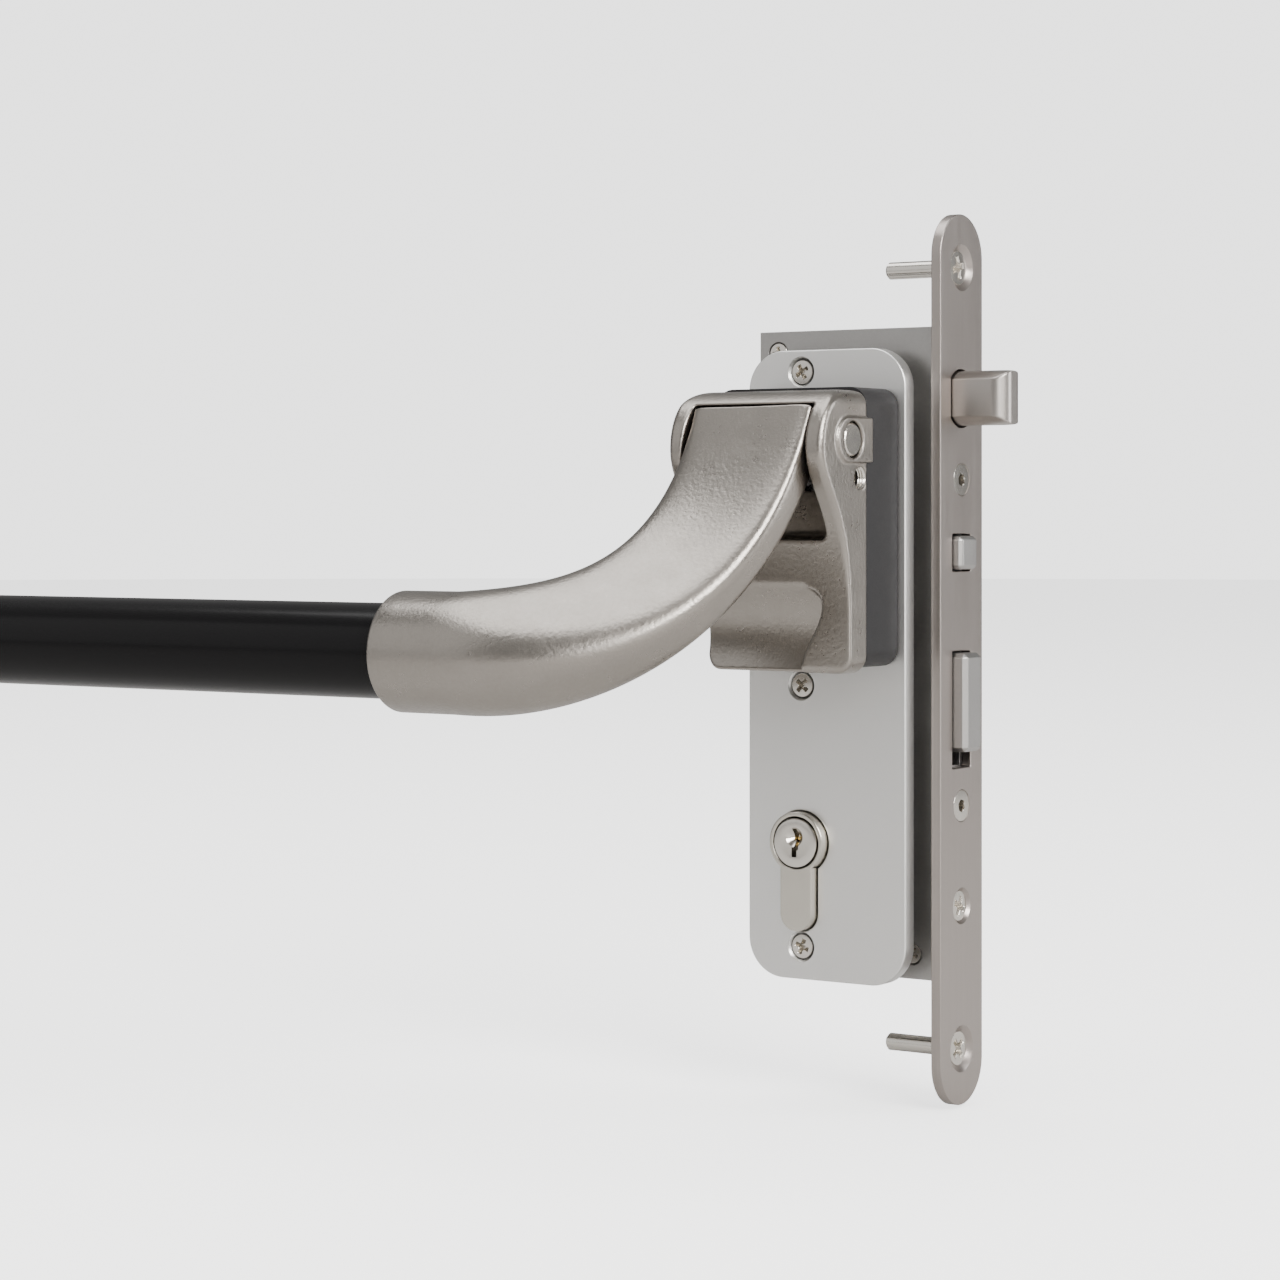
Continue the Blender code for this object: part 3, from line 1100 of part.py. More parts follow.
def add_cylinder():
    """The double cylinder: body, a plug at each end and the cam between them."""
    front, back = -PLATE_THICKNESS - CYLINDER_PROUD, 2 * LOCK_MIDDLE + PLATE_THICKNESS + CYLINDER_PROUD
    body = add("cylinder_body", slab(euro_outline(0), PLANE_XZ, front, back), "bright_steel")
    bore = PLUG_RADIUS + TOUCH
    cut(body, rod((LOCK_X, front - MM, CYLINDER_Z), (LOCK_X, back + MM, CYLINDER_Z), bore, segments=32))
    cam_half = CAM_WIDTH / 2
    gap_low, gap_high = LOCK_MIDDLE - cam_half - RUNNING, LOCK_MIDDLE + cam_half + RUNNING
    clear = block(
        (LOCK_X - 12 * MM, gap_low, CYLINDER_Z - CAM_RADIUS - 0.7 * MM),
        (LOCK_X + 12 * MM, gap_high, CYLINDER_Z + 12 * MM),
    )
    cut(body, clear)
    screw_z = CYLINDER_Z - CYLINDER_SCREW_DROP
    across = (LOCK_X - 9 * MM, LOCK_MIDDLE, screw_z), (LOCK_X + 9 * MM, LOCK_MIDDLE, screw_z)
    hole = rod(*across, 2.6 * MM, segments=16)
    cut(body, hole)
    plugs = []
    for label, low, high in (
        ("inner", front - 0.4 * MM, gap_low - 0.3 * MM),
        ("outer", gap_high + 0.3 * MM, back + 0.4 * MM),
    ):
        plug = rod((LOCK_X, low, CYLINDER_Z), (LOCK_X, high, CYLINDER_Z), PLUG_RADIUS, segments=32)
        plugs.append(add(f"cylinder_plug_{label}", plug, "bright_steel"))
    low, high = LOCK_MIDDLE - cam_half, LOCK_MIDDLE + cam_half
    hub = rod((LOCK_X, low, CYLINDER_Z), (LOCK_X, high, CYLINDER_Z), EURO_RADIUS - 0.8 * MM, segments=28)
    cam = add("cylinder_cam", hub, "brass")
    nose = lever_outline((LOCK_X, CYLINDER_Z), math.radians(-60), CAM_RADIUS - 4 * MM, 3.6 * MM, 4 * MM)
    join(cam, slab(nose, PLANE_XZ, low + 0.2 * MM, high - 0.2 * MM))
    return plugs, cam


def main():
    """Build the whole exit device."""
    add_backplate()
    add_hinge_plate()
    for prefix, mirrored, screws in (("", False, BRACKET_SCREWS), ("hinge_", True, HINGE_BRACKET_SCREWS)):
        add_spacer(f"{prefix}spacer", mirrored, screws)
        add_bracket(f"{prefix}bracket", mirrored, screws)
        add_bracket_screws(prefix, mirrored, screws)
        add_pin(prefix, mirrored)
    push = [add_arm("lever_arm", False), add_arm("hinge_lever_arm", True), add_bar()]
    push += add_arm_fittings("", False) + add_arm_fittings("hinge_", True)
    hang(axis_empty("bar_push_axis", (HEAD_X, PIVOT_Y, PIVOT_Z)), push)
    crank, spindle = add_drive()
    add_forend()
    add_case()
    follower = add_follower()
    hang(axis_empty("spindle_axis", (LOCK_X, LOCK_MIDDLE, FOLLOWER_Z)), [crank, spindle, follower])
    hang(axis_empty("deadbolt_axis", (FOREND_X, LOCK_MIDDLE, BOLT_Z)), [add_deadbolt()])
    pivot = (LATCH_LEVER_X, LOCK_MIDDLE, LATCH_LEVER_Z)
    hang(axis_empty("latch_lever_axis", pivot), [add_latch_lever()])
    latch, carrier = add_cross_latch()
    stem = (FOREND_X, LOCK_MIDDLE, CROSS_TOP_Z - CROSS_HEIGHT / 2)
    hang(axis_empty("cross_latch_axis", stem), [latch])
    hang(axis_empty("latch_carrier_axis", stem), [carrier])
    hang(axis_empty("control_latch_axis", (FOREND_X, LOCK_MIDDLE, CONTROL_Z)), [add_control_latch()])
    plugs, cam = add_cylinder()
    centre = (LOCK_X, LOCK_MIDDLE, CYLINDER_Z)
    hang(axis_empty("cylinder_axis", centre), [plugs[0], cam])
    hang(axis_empty("outer_plug_axis", centre), [plugs[1]])


main()
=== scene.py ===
"""Visible surfaces and finishes of a panic exit bar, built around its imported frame.

Sizes are in metres, in the frame's own axes: +X runs along the bar towards the lock edge, +Y into
the door and +Z up. The frame's node boxes place every piece.
"""

import logging
import math
from dataclasses import dataclass
from enum import Enum

import bmesh
import bpy
import numpy as np
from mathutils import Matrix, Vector


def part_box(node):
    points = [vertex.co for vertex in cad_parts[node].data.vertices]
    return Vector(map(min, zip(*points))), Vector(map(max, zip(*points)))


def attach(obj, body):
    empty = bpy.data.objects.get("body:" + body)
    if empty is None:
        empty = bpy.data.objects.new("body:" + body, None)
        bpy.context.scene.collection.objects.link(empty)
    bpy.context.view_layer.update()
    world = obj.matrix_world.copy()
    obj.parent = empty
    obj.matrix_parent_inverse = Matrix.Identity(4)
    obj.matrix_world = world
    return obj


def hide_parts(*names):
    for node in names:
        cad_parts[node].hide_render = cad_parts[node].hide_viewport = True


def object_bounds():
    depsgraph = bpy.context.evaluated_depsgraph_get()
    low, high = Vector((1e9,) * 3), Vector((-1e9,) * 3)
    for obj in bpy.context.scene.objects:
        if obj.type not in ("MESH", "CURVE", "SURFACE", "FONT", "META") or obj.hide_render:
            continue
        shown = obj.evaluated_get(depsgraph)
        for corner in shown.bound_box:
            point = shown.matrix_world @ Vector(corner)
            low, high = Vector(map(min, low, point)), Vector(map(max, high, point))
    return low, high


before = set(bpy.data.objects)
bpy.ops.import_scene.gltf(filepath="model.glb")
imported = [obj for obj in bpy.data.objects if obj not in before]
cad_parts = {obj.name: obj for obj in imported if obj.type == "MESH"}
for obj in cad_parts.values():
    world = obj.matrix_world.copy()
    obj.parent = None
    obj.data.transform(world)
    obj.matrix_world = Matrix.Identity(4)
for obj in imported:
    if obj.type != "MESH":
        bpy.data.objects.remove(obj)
CAD_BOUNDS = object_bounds()
MM = 0.001
SEAM = 2e-6  # points nearer than this are one point
SAME_POINT = 1e-6
FLAT_ANGLE = math.radians(0.5)
X_AXIS, Y_AXIS = Vector((1, 0, 0)), Vector((0, 1, 0))
FRONT, BACK, EDGE = (0, -1, 0), (0, 1, 0), (1, 0, 0)  # ways that a screw's head faces
SHANK_SHARE = 0.51  # a screw's shank, as a share of its head
CONE_SHARE = 0.585  # the height of its head's cone, as a share of its radius
EURO_STEM = 5 * MM  # half the width of the cylinder's stem
LOG = logging.getLogger("panic_exit_bar")

Grid = np.ndarray
Points = list[tuple[float, float]]


class Grain(Enum):
    """How a finish's fine texture runs."""

    ALL_ROUND = (1.0, 1.0, 1.0)
    ALONG_X = (0.02, 1.0, 1.0)
    ALONG_Z = (1.0, 1.0, 0.02)


class Side(Enum):
    """The end of the bar that a piece belongs to."""

    LOCK = ""
    HINGE = "hinge_"


class Drive(Enum):
    """Recess in a screw's head."""

    CROSS = "cross"
    HEX = "hex"


# Finishes


def group_socket(
    tree: bpy.types.NodeTree, name: str, way: str, kind: str, value: tuple | float | None = None
) -> None:
    """Add a named socket to a node group.

    Args:
        tree: The node group.
        name: The socket's name.
        way: INPUT or OUTPUT.
        kind: The socket's type, such as NodeSocketFloat.
        value: The default of an input.
    """
    socket = tree.interface.new_socket(name=name, in_out=way, socket_type=kind)
    if value is not None:
        socket.default_value = value


def surface_group() -> bpy.types.NodeTree:
    """Build the group that gives a metal or moulded surface its grain, clouding and fine marks.

    A fine noise and a broad one vary the colour and the roughness about their middle values. The
    fine noise, with a cell pattern for pits, is the height of the relief.

    Returns:
        The node group, with outputs Color, Roughness and Height.
    """
    tree = bpy.data.node_groups.new("surface_grain", "ShaderNodeTree")
    inputs = (
        ("Vector", "NodeSocketVector", None),
        ("Color", "NodeSocketColor", (0.5, 0.5, 0.5, 1)),
        ("Dark Color", "NodeSocketColor", (0.4, 0.4, 0.4, 1)),
        ("Cloud", "NodeSocketFloat", 0.3),
        ("Roughness", "NodeSocketFloat", 0.4),
        ("Roughness Spread", "NodeSocketFloat", 0.06),
        ("Fine Scale", "NodeSocketFloat", 1000.0),
        ("Broad Scale", "NodeSocketFloat", 60.0),
        ("Pits", "NodeSocketFloat", 0.0),
    )
    for name, kind, value in inputs:
        group_socket(tree, name, "INPUT", kind, value)
    group_socket(tree, "Color", "OUTPUT", "NodeSocketColor")
    group_socket(tree, "Roughness", "OUTPUT", "NodeSocketFloat")
    group_socket(tree, "Height", "OUTPUT", "NodeSocketFloat")
    nodes, link = tree.nodes, tree.links.new
    source = nodes.new("NodeGroupInput")
    target = nodes.new("NodeGroupOutput")
    fine = nodes.new("ShaderNodeTexNoise")
    fine.inputs["Detail"].default_value = 3.0
    broad = nodes.new("ShaderNodeTexNoise")
    broad.inputs["Detail"].default_value = 4.0
    cells = nodes.new("ShaderNodeTexVoronoi")
    for texture, scale in ((fine, "Fine Scale"), (broad, "Broad Scale"), (cells, "Fine Scale")):
        link(source.outputs["Vector"], texture.inputs["Vector"])
        link(source.outputs[scale], texture.inputs["Scale"])
    both = math_node(tree, "ADD", fine.outputs["Fac"], broad.outputs["Fac"])
    centred = math_node(tree, "SUBTRACT", both, 1.0)
    swing = math_node(tree, "MULTIPLY", centred, source.outputs["Roughness Spread"])
    rough = math_node(tree, "MULTIPLY_ADD", swing, 2.0, source.outputs["Roughness"])
    link(rough, target.inputs["Roughness"])
    cloud = math_node(tree, "MULTIPLY", both, source.outputs["Cloud"])
    mix = nodes.new("ShaderNodeMix")
    mix.data_type = "RGBA"
    link(cloud, mix.inputs["Factor"])
    link(source.outputs["Color"], mix.inputs["A"])
    link(source.outputs["Dark Color"], mix.inputs["B"])
    link(mix.outputs["Result"], target.inputs["Color"])
    pit = math_node(tree, "MULTIPLY", cells.outputs["Distance"], source.outputs["Pits"])
    height = math_node(tree, "ADD", fine.outputs["Fac"], pit)
    link(height, target.inputs["Height"])
    return tree


def math_node(
    tree: bpy.types.NodeTree, operation: str, *values: bpy.types.NodeSocket | float
) -> bpy.types.NodeSocket:
    """Add a Math node.

    Args:
        tree: The tree it goes in.
        operation: The Math node's operation.
        values: Sockets to link or numbers to set, in order.

    Returns:
        The node's output.
    """
    node = tree.nodes.new("ShaderNodeMath")
    node.operation = operation
    for i, value in enumerate(values):
        if isinstance(value, bpy.types.NodeSocket):
            tree.links.new(value, node.inputs[i])
        else:
            node.inputs[i].default_value = value
    return node.outputs[0]


SURFACE = surface_group()


@dataclass(frozen=True)
class Finish:
    """A finish, from which each piece gets a material of its own."""

    name: str
    colour: tuple[float, float, float]
    dark: float = 0.8  # darkest cloud, as a share of the colour
    cloud: float = 0.35
    roughness: float = 0.35
    spread: float = 0.06
    metallic: float = 1.0
    fine_scale: float = 1500.0
    broad_scale: float = 60.0
    pits: float = 0.0
    relief: float = 0.02 * MM
    strength: float = 0.5
    grain: Grain = Grain.ALL_ROUND
    specular: float = 0.5

    def material(self, piece: str) -> bpy.types.Material:
        """Make the finish's material for one piece.

        Args:
            piece: The name of the piece.

        Returns:
            The material.
        """
        material = bpy.data.materials.new(f"{self.name}_{piece}")
        material.use_nodes = True
        tree = material.node_tree
        shader = tree.nodes["Principled BSDF"]
        shader.inputs["Metallic"].default_value = self.metallic
        shader.inputs["Specular IOR Level"].default_value = self.specular
        place = tree.nodes.new("ShaderNodeTexCoord")
        mapping = tree.nodes.new("ShaderNodeMapping")
        mapping.inputs["Scale"].default_value = self.grain.value
        tree.links.new(place.outputs["Object"], mapping.inputs["Vector"])
        group = tree.nodes.new("ShaderNodeGroup")
        group.node_tree = SURFACE
        tree.links.new(mapping.outputs["Vector"], group.inputs["Vector"])
        values = {
            "Color": (*self.colour, 1),
            "Dark Color": (*(c * self.dark for c in self.colour), 1),
            "Cloud": self.cloud,
            "Roughness": self.roughness,
            "Roughness Spread": self.spread,
            "Fine Scale": self.fine_scale,
            "Broad Scale": self.broad_scale,
            "Pits": self.pits,
        }
        for key, value in values.items():
            group.inputs[key].default_value = value
        tree.links.new(group.outputs["Color"], shader.inputs["Base Color"])
        tree.links.new(group.outputs["Roughness"], shader.inputs["Roughness"])
        bump = tree.nodes.new("ShaderNodeBump")
        bump.inputs["Distance"].default_value = self.relief
        bump.inputs["Strength"].default_value = self.strength
        tree.links.new(group.outputs["Height"], bump.inputs["Height"])
        tree.links.new(bump.outputs["Normal"], shader.inputs["Normal"])
        return material


CAST = Finish(
    "cast_satin_nickel", (0.345, 0.318, 0.288), 0.8, 0.45, 0.31, 0.07,
    fine_scale=950, broad_scale=140, relief=0.085 * MM, strength=1.0,
)
ANODISED = Finish(
    "satin_anodised", (0.78, 0.775, 0.76), 0.9, 0.3, 0.40, 0.04,
    fine_scale=2500, broad_scale=25, relief=0.01 * MM, strength=0.3,
)
BRUSHED = Finish(
    "brushed_stainless", (0.40, 0.36, 0.335), 0.85, 0.4, 0.33, 0.05,
    fine_scale=4000, broad_scale=500, relief=0.01 * MM, strength=0.3, grain=Grain.ALONG_Z,
)
BRUSHED_ALONG = Finish(
    "brushed_bolt", (0.42, 0.39, 0.365), 0.85, 0.3, 0.33, 0.03,
    fine_scale=4000, broad_scale=500, relief=0.003 * MM, strength=0.15, grain=Grain.ALONG_X,
)
SHEET = Finish(
    "zinc_sheet", (0.40, 0.39, 0.38), 0.82, 0.4, 0.4, 0.08,
    fine_scale=1200, broad_scale=120, pits=0.2, relief=0.01 * MM, strength=0.3,
)
NICKEL = Finish(
    "bright_nickel", (0.66, 0.63, 0.58), 0.85, 0.25, 0.2, 0.05,
    fine_scale=2500, broad_scale=200, relief=0.008 * MM, strength=0.25,
)
SATIN_NICKEL = Finish(
    "satin_nickel_brass", (0.60, 0.57, 0.51), 0.85, 0.3, 0.24, 0.05,
    fine_scale=3000, broad_scale=150, relief=0.006 * MM, strength=0.25,
)
WIRE = Finish(
    "spring_wire", (0.42, 0.42, 0.43), 0.7, 0.4, 0.3, 0.08,
    fine_scale=2500, broad_scale=300, relief=0.01 * MM,
)
CHARCOAL = Finish(
    "charcoal_moulding", (0.0150, 0.0142, 0.0152), 0.8, 0.5, 0.5, 0.05, 0.0, specular=0.3,
    fine_scale=2200, broad_scale=120, pits=0.3, relief=0.02 * MM, strength=0.4,
)
NYLON = Finish(
    "natural_nylon", (0.72, 0.70, 0.64), 0.9, 0.3, 0.45, 0.05, 0.0,
    fine_scale=1800, broad_scale=100, relief=0.01 * MM, strength=0.3,
)
LACQUER = Finish(
    "black_lacquer", (0.004, 0.0038, 0.0042), 0.8, 0.3, 0.22, 0.03, 0.0,
    fine_scale=1600, broad_scale=30, relief=0.003 * MM, strength=0.1, specular=0.14,
)
FLOOR = Finish(
    "pale_floor", (0.90, 0.90, 0.895), 0.98, 0.3, 0.7, 0.04, 0.0,
    fine_scale=300, broad_scale=3, relief=0.05 * MM, strength=0.1,
)
BRASS = Finish(
    "plain_brass", (0.72, 0.52, 0.20), 0.8, 0.3, 0.25, 0.06,
    fine_scale=2500, broad_scale=200, relief=0.008 * MM,
)


# Surfaces


def put(name: str, data: bpy.types.ID) -> bpy.types.Object:
    """Make an object and link it to the scene.

    Args:
        name: The object's name.
        data: Its mesh, curve, light or camera.

    Returns:
        The object.
    """
    obj = bpy.data.objects.new(name, data)
    bpy.context.scene.collection.objects.link(obj)
    return obj


def applied(obj: bpy.types.Object) -> bpy.types.Mesh:
    """Work out the mesh that an object has after its modifiers.

    Args:
        obj: The object.

    Returns:
        A new mesh.
    """
    bpy.context.view_layer.update()
    ready = obj.evaluated_get(bpy.context.evaluated_depsgraph_get())
    return bpy.data.meshes.new_from_object(ready)


def points_of(mesh: bpy.types.Mesh) -> Grid:
    """Read a mesh's points.

    Args:
        mesh: The mesh.

    Returns:
        Points, one row each.
    """
    points = np.empty(len(mesh.vertices) * 3)
    mesh.vertices.foreach_get("co", points)
    return points.reshape(-1, 3)


def mesh_object(name: str, verts: Grid, faces: list) -> bpy.types.Object:
    """Make an object from points and faces, its doubles merged and its faces turned out.

    Args:
        name: The object's name.
        verts: Points, one row each.
        faces: Lists of point numbers.

    Returns:
        The object, linked to the scene.
    """
    mesh = bpy.data.meshes.new(name)
    mesh.from_pydata(verts.tolist(), [], faces)
    work = bmesh.new()
    work.from_mesh(mesh)
    bmesh.ops.remove_doubles(work, verts=work.verts, dist=SEAM)
    bmesh.ops.dissolve_degenerate(work, edges=work.edges, dist=1e-7)
    bmesh.ops.recalc_face_normals(work, faces=work.faces)
    work.to_mesh(mesh)
    work.free()
    return put(name, mesh)


def smooth(obj: bpy.types.Object, angle: float = 35.0) -> None:
    """Shade an object smooth, with edges over the angle, in degrees, kept sharp."""
    obj.data.shade_smooth()
    obj.data.set_sharp_from_angle(angle=math.radians(angle))


def flatten(obj: bpy.types.Object, angle: float = 35.0) -> None:
    """Shade an object so that its broad faces look flat and its narrow edges look round.

    Args:
        obj: The object.
        angle: The least angle, in degrees, of an edge that stays sharp.
    """
    smooth(obj, angle)
    weight = obj.modifiers.new("face_weight", "WEIGHTED_NORMAL")
    weight.weight = 100
    weight.keep_sharp = True


def grid_faces(rows: int, columns: int, caps: bool) -> list:
    """List the faces of a grid that closes on itself along its columns.

    Args:
        rows: Number of rows.
        columns: Number of columns.
        caps: Whether the first and last rows are closed with a face.

    Returns:
        Lists of point numbers.
    """
    row, column = np.meshgrid(np.arange(rows - 1), np.arange(columns), indexing="ij")
    after = (column + 1) % columns
    here, above = row * columns, (row + 1) * columns
    corners = (here + column, here + after, above + after, above + column)
    faces = np.stack(corners, axis=-1).reshape(-1, 4).tolist()
    if caps:
        last = (rows - 1) * columns
        faces.append(list(range(columns - 1, -1, -1)))
        faces.append(list(range(last, last + columns)))
    return faces


def skin(name: str, grid: Grid, caps: bool = True) -> bpy.types.Object:
    """Make a closed skin over rows of points that each run round the piece.

    Args:
        name: The object's name.
        grid: Points, of shape (rows, columns, 3).
        caps: Whether the ends are closed.

    Returns:
        The object.
    """
    rows, columns = grid.shape[:2]
    return mesh_object(name, grid.reshape(-1, 3), grid_faces(rows, columns, caps))


def axis_frame(axis: Vector) -> tuple[Grid, Grid, Grid]:
    """Find two directions across an axis.

    Args:
        axis: The axis's direction.

    Returns:
        The two directions and the axis itself, each of length one.
    """
    along = np.array(axis.normalized())
    across = np.array((0.0, 0.0, 1.0)) if abs(along[2]) < 0.9 else np.array((1.0, 0.0, 0.0))
    first = np.cross(across, along)
    first /= np.linalg.norm(first)
    return first, np.cross(along, first), along


def turned_grid(profile: Points, place: Grid, axis: Vector, around: int = 72) -> Grid:
    """Turn a profile about an axis: radius r at height h gives the circle of that radius there.

    Args:
        profile: Pairs of radius and height along the axis.
        place: The point where the height is zero.
        axis: The axis's direction.
        around: Points in each circle.

    Returns:
        Points, of shape (profile, around, 3).
    """
    first, second, along = axis_frame(axis)
    angle = np.linspace(0, 2 * math.pi, around, endpoint=False)
    ring = np.outer(np.cos(angle), first) + np.outer(np.sin(angle), second)
    radius, height = np.array(profile).T
    return np.asarray(place) + radius[:, None, None] * ring + height[:, None, None] * along


def turned(name: str, profile: Points, place: Grid, axis: Vector, around: int = 72) -> bpy.types.Object:
    """Make a turned piece, as in turned_grid.

    Args:
        name: The object's name.
        profile: Pairs of radius and height along the axis.
        place: The point where the height is zero.
        axis: The axis's direction.
        around: Points in each circle.

    Returns:
        The object.
    """
    obj = skin(name, turned_grid(profile, place, axis, around), caps=profile[0][0] > 0)
    smooth(obj)
    return obj


def rod(
    name: str, radius: float, ends: tuple[float, float], place: Grid, axis: Vector, around: int = 72
) -> bpy.types.Object:
    """Make a plain rod, as a tool for combine.

    Args:
        name: The object's name.
        radius: Its radius.
        ends: The heights of its ends along the axis.
        place: The point where the height is zero.
        axis: The axis's direction.
        around: Points in each circle.

    Returns:
        The object.
    """
    low, high = ends
    return turned(name, [(0, low), (radius, low), (radius, high), (0, high)], place, axis, around)


def arc(centre: tuple[float, float], radius: float, start: float, end: float, count: int) -> Points:
    """List points on an arc: the centre, plus the radius times the angle's cosine and sine.

    Args:
        centre: The arc's centre.
        radius: Its radius.
        start: The first point's angle, in degrees.
        end: The last point's angle.
        count: The number of points.

    Returns:
        The points.
    """
    angle = np.radians(np.linspace(start, end, count))
    u = centre[0] + radius * np.cos(angle)
    v = centre[1] + radius * np.sin(angle)
    return list(zip(u.tolist(), v.tolist()))


def rounded_rectangle(
    left: float, right: float, bottom: float, top: float, radius: float, count: int = 24
) -> Points:
    """Outline an upright rectangle with round corners.

    Args:
        left: Its left side.
        right: Its right side.
        bottom: Its bottom.
        top: Its top.
        radius: Radius of its corners.
        count: Points in each corner.

    Returns:
        The outline.
    """
    return (
        arc((right - radius, top - radius), radius, 0, 90, count)
        + arc((left + radius, top - radius), radius, 90, 180, count)
        + arc((left + radius, bottom + radius), radius, 180, 270, count)
        + arc((right - radius, bottom + radius), radius, 270, 360, count)
    )


def cubic(t: Grid, start: Grid, first: Grid, second: Grid, end: Grid) -> Grid:
    """Follow a cubic curve: the four points, weighted by the powers of t and of 1 - t.

    Args:
        t: Shares of the way along, as a column.
        start: Where the curve starts.
        first: The point that it leaves towards.
        second: The point that it arrives from.
        end: Where it ends.

    Returns:
        Points, one row each.
    """
    curve = (1 - t) ** 3 * start + 3 * t * (1 - t) ** 2 * first
    return curve + 3 * t * t * (1 - t) * second + t**3 * end


class Plane(Enum):
    """The plane that a flat outline lies in."""

    XZ = "xz"
    YZ = "yz"


def plate(
    name: str, plane: Plane, loops: list[Points], low: float, high: float, edge: float = 0.3 * MM
) -> bpy.types.Object:
    """Make a flat plate with holes and slightly rounded edges.

    Args:
        name: The object's name.
        plane: The plane of its outline.
        loops: The outline, then the outline of each hole.
        low: Where it starts along the plane's normal.
        high: Where it ends.
        edge: Radius of its edges.

    Returns:
        The object.
    """
    curve = bpy.data.curves.new(name, "CURVE")
    curve.dimensions = "2D"
    curve.fill_mode = "BOTH"
    curve.extrude = (high - low) / 2 - edge
    curve.bevel_depth = edge
    curve.bevel_resolution = 2
    curve.offset = -edge
    for loop in loops:
        spline = curve.splines.new("POLY")
        spline.points.add(len(loop) - 1)
        flat = np.zeros((len(loop), 4))
        flat[:, :2] = loop
        flat[:, 3] = 1
        spline.points.foreach_set("co", flat.ravel())
        spline.use_cyclic_u = True
    guide = put(name, curve)
    mesh = applied(guide)
    bpy.data.objects.remove(guide, do_unlink=True)
    u, v, w = points_of(mesh).T
    middle = (low + high) / 2
    if plane is Plane.XZ:
        placed = np.stack((u, middle - w, v), axis=1)
    else:
        placed = np.stack((middle + w, u, v), axis=1)
    faces = [list(face.vertices) for face in mesh.polygons]
    obj = mesh_object(name, placed, faces)
    smooth(obj)
    return obj


def block(name: str, low: Grid | tuple, high: Grid | tuple) -> bpy.types.Object:
    """Make a plain box, as a tool for combine.

    Args:
        name: The object's name.
        low: Its lowest corner.
        high: Its highest corner.

    Returns:
        The object.
    """
    (x0, y0, z0), (x1, y1, z1) = low, high
    base = np.array([(x0, y0), (x1, y0), (x1, y1), (x0, y1)])
    grid = np.stack([np.column_stack((base, np.full(4, z))) for z in (z0, z1)])
    return skin(name, grid)


def combine(obj: bpy.types.Object, tools: list[bpy.types.Object], operation: str) -> bpy.types.Object:
    """Cut tools from a piece or join them to it, and remove the tools.

    Args:
        obj: The piece.
        tools: Closed objects.
        operation: DIFFERENCE or UNION.

    Returns:
        The piece, with its new mesh.
    """
    for tool in tools:
        modifier = obj.modifiers.new("tool", "BOOLEAN")
        modifier.operation = operation
        modifier.solver = "EXACT"
        modifier.object = tool
    mesh = applied(obj)
    obj.modifiers.clear()
    obj.data = mesh
    for tool in tools:
        bpy.data.objects.remove(tool, do_unlink=True)
    smooth(obj)
    return obj


# Fields: a casting is the surface where a distance field is zero, so that its fillets are true


def meet(first: Grid, second: Grid, radius: Grid | float) -> Grid:
    """Intersect two distance fields and round the edge between them.

    Both shapes are taken in by the radius, the distance to their common corner is measured, and
    the radius is given back.

    Args:
        first: A field, negative inside.
        second: Another.
        radius: The edge's radius.

    Returns:
        The field of what both hold.
    """
    a, b = first + radius, second + radius
    outside = np.hypot(np.maximum(a, 0), np.maximum(b, 0))
    return outside + np.minimum(np.maximum(a, b), 0) - radius


def blend_on(first: Grid, second: Grid, radius: Grid | float) -> Grid:
    """Join two distance fields with a fillet of a radius: the intersection of their outsides."""
    return -meet(-first, -second, radius)


def polygon_field(u: Grid, v: Grid, loop: Points) -> Grid:
    """Measure the signed distance in a plane to a closed outline.

    The distance is the least one to any of its sides, and a point is inside when the sides to its
    right that cross its level are odd in number.

    Args:
        u: The points' first coordinates.
        v: Their second coordinates.
        loop: The outline.

    Returns:
        The distances, negative inside.
    """
    start = np.array(loop)
    run = np.roll(start, -1, axis=0) - start
    distance = np.full(np.broadcast(u, v).shape, np.inf)
    inside = np.zeros(distance.shape, dtype=bool)
    for (su, sv), (du, dv) in zip(start, run):
        length = du * du + dv * dv
        if length < SAME_POINT**2:
            continue
        share = np.clip(((u - su) * du + (v - sv) * dv) / length, 0, 1)
        distance = np.minimum(distance, np.hypot(u - su - share * du, v - sv - share * dv))
        if dv != 0:
            crosses = ((sv > v) != (sv + dv > v)) & (u < su + (v - sv) / dv * du)
            inside ^= crosses
    return np.where(inside, -distance, distance)


def box_field(x: Grid, y: Grid, z: Grid, low: tuple, high: tuple, radius: float) -> Grid:
    """Measure the signed distance to a box with rounded edges.

    Args:
        x: The points' places along X.
        y: Along Y.
        z: Along Z.
        low: The box's lowest corner.
        high: Its highest corner.
        radius: Radius of its edges.

    Returns:
        The distances, negative inside.
    """
    sides = []
    for value, near, far in zip((x, y, z), low, high):
        sides.append(np.abs(value - (near + far) / 2) - (far - near) / 2 + radius)
    a, b, c = np.broadcast_arrays(*sides)
    outside = np.sqrt(np.maximum(a, 0) ** 2 + np.maximum(b, 0) ** 2 + np.maximum(c, 0) ** 2)
    return outside + np.minimum(np.maximum(np.maximum(a, b), c), 0) - radius


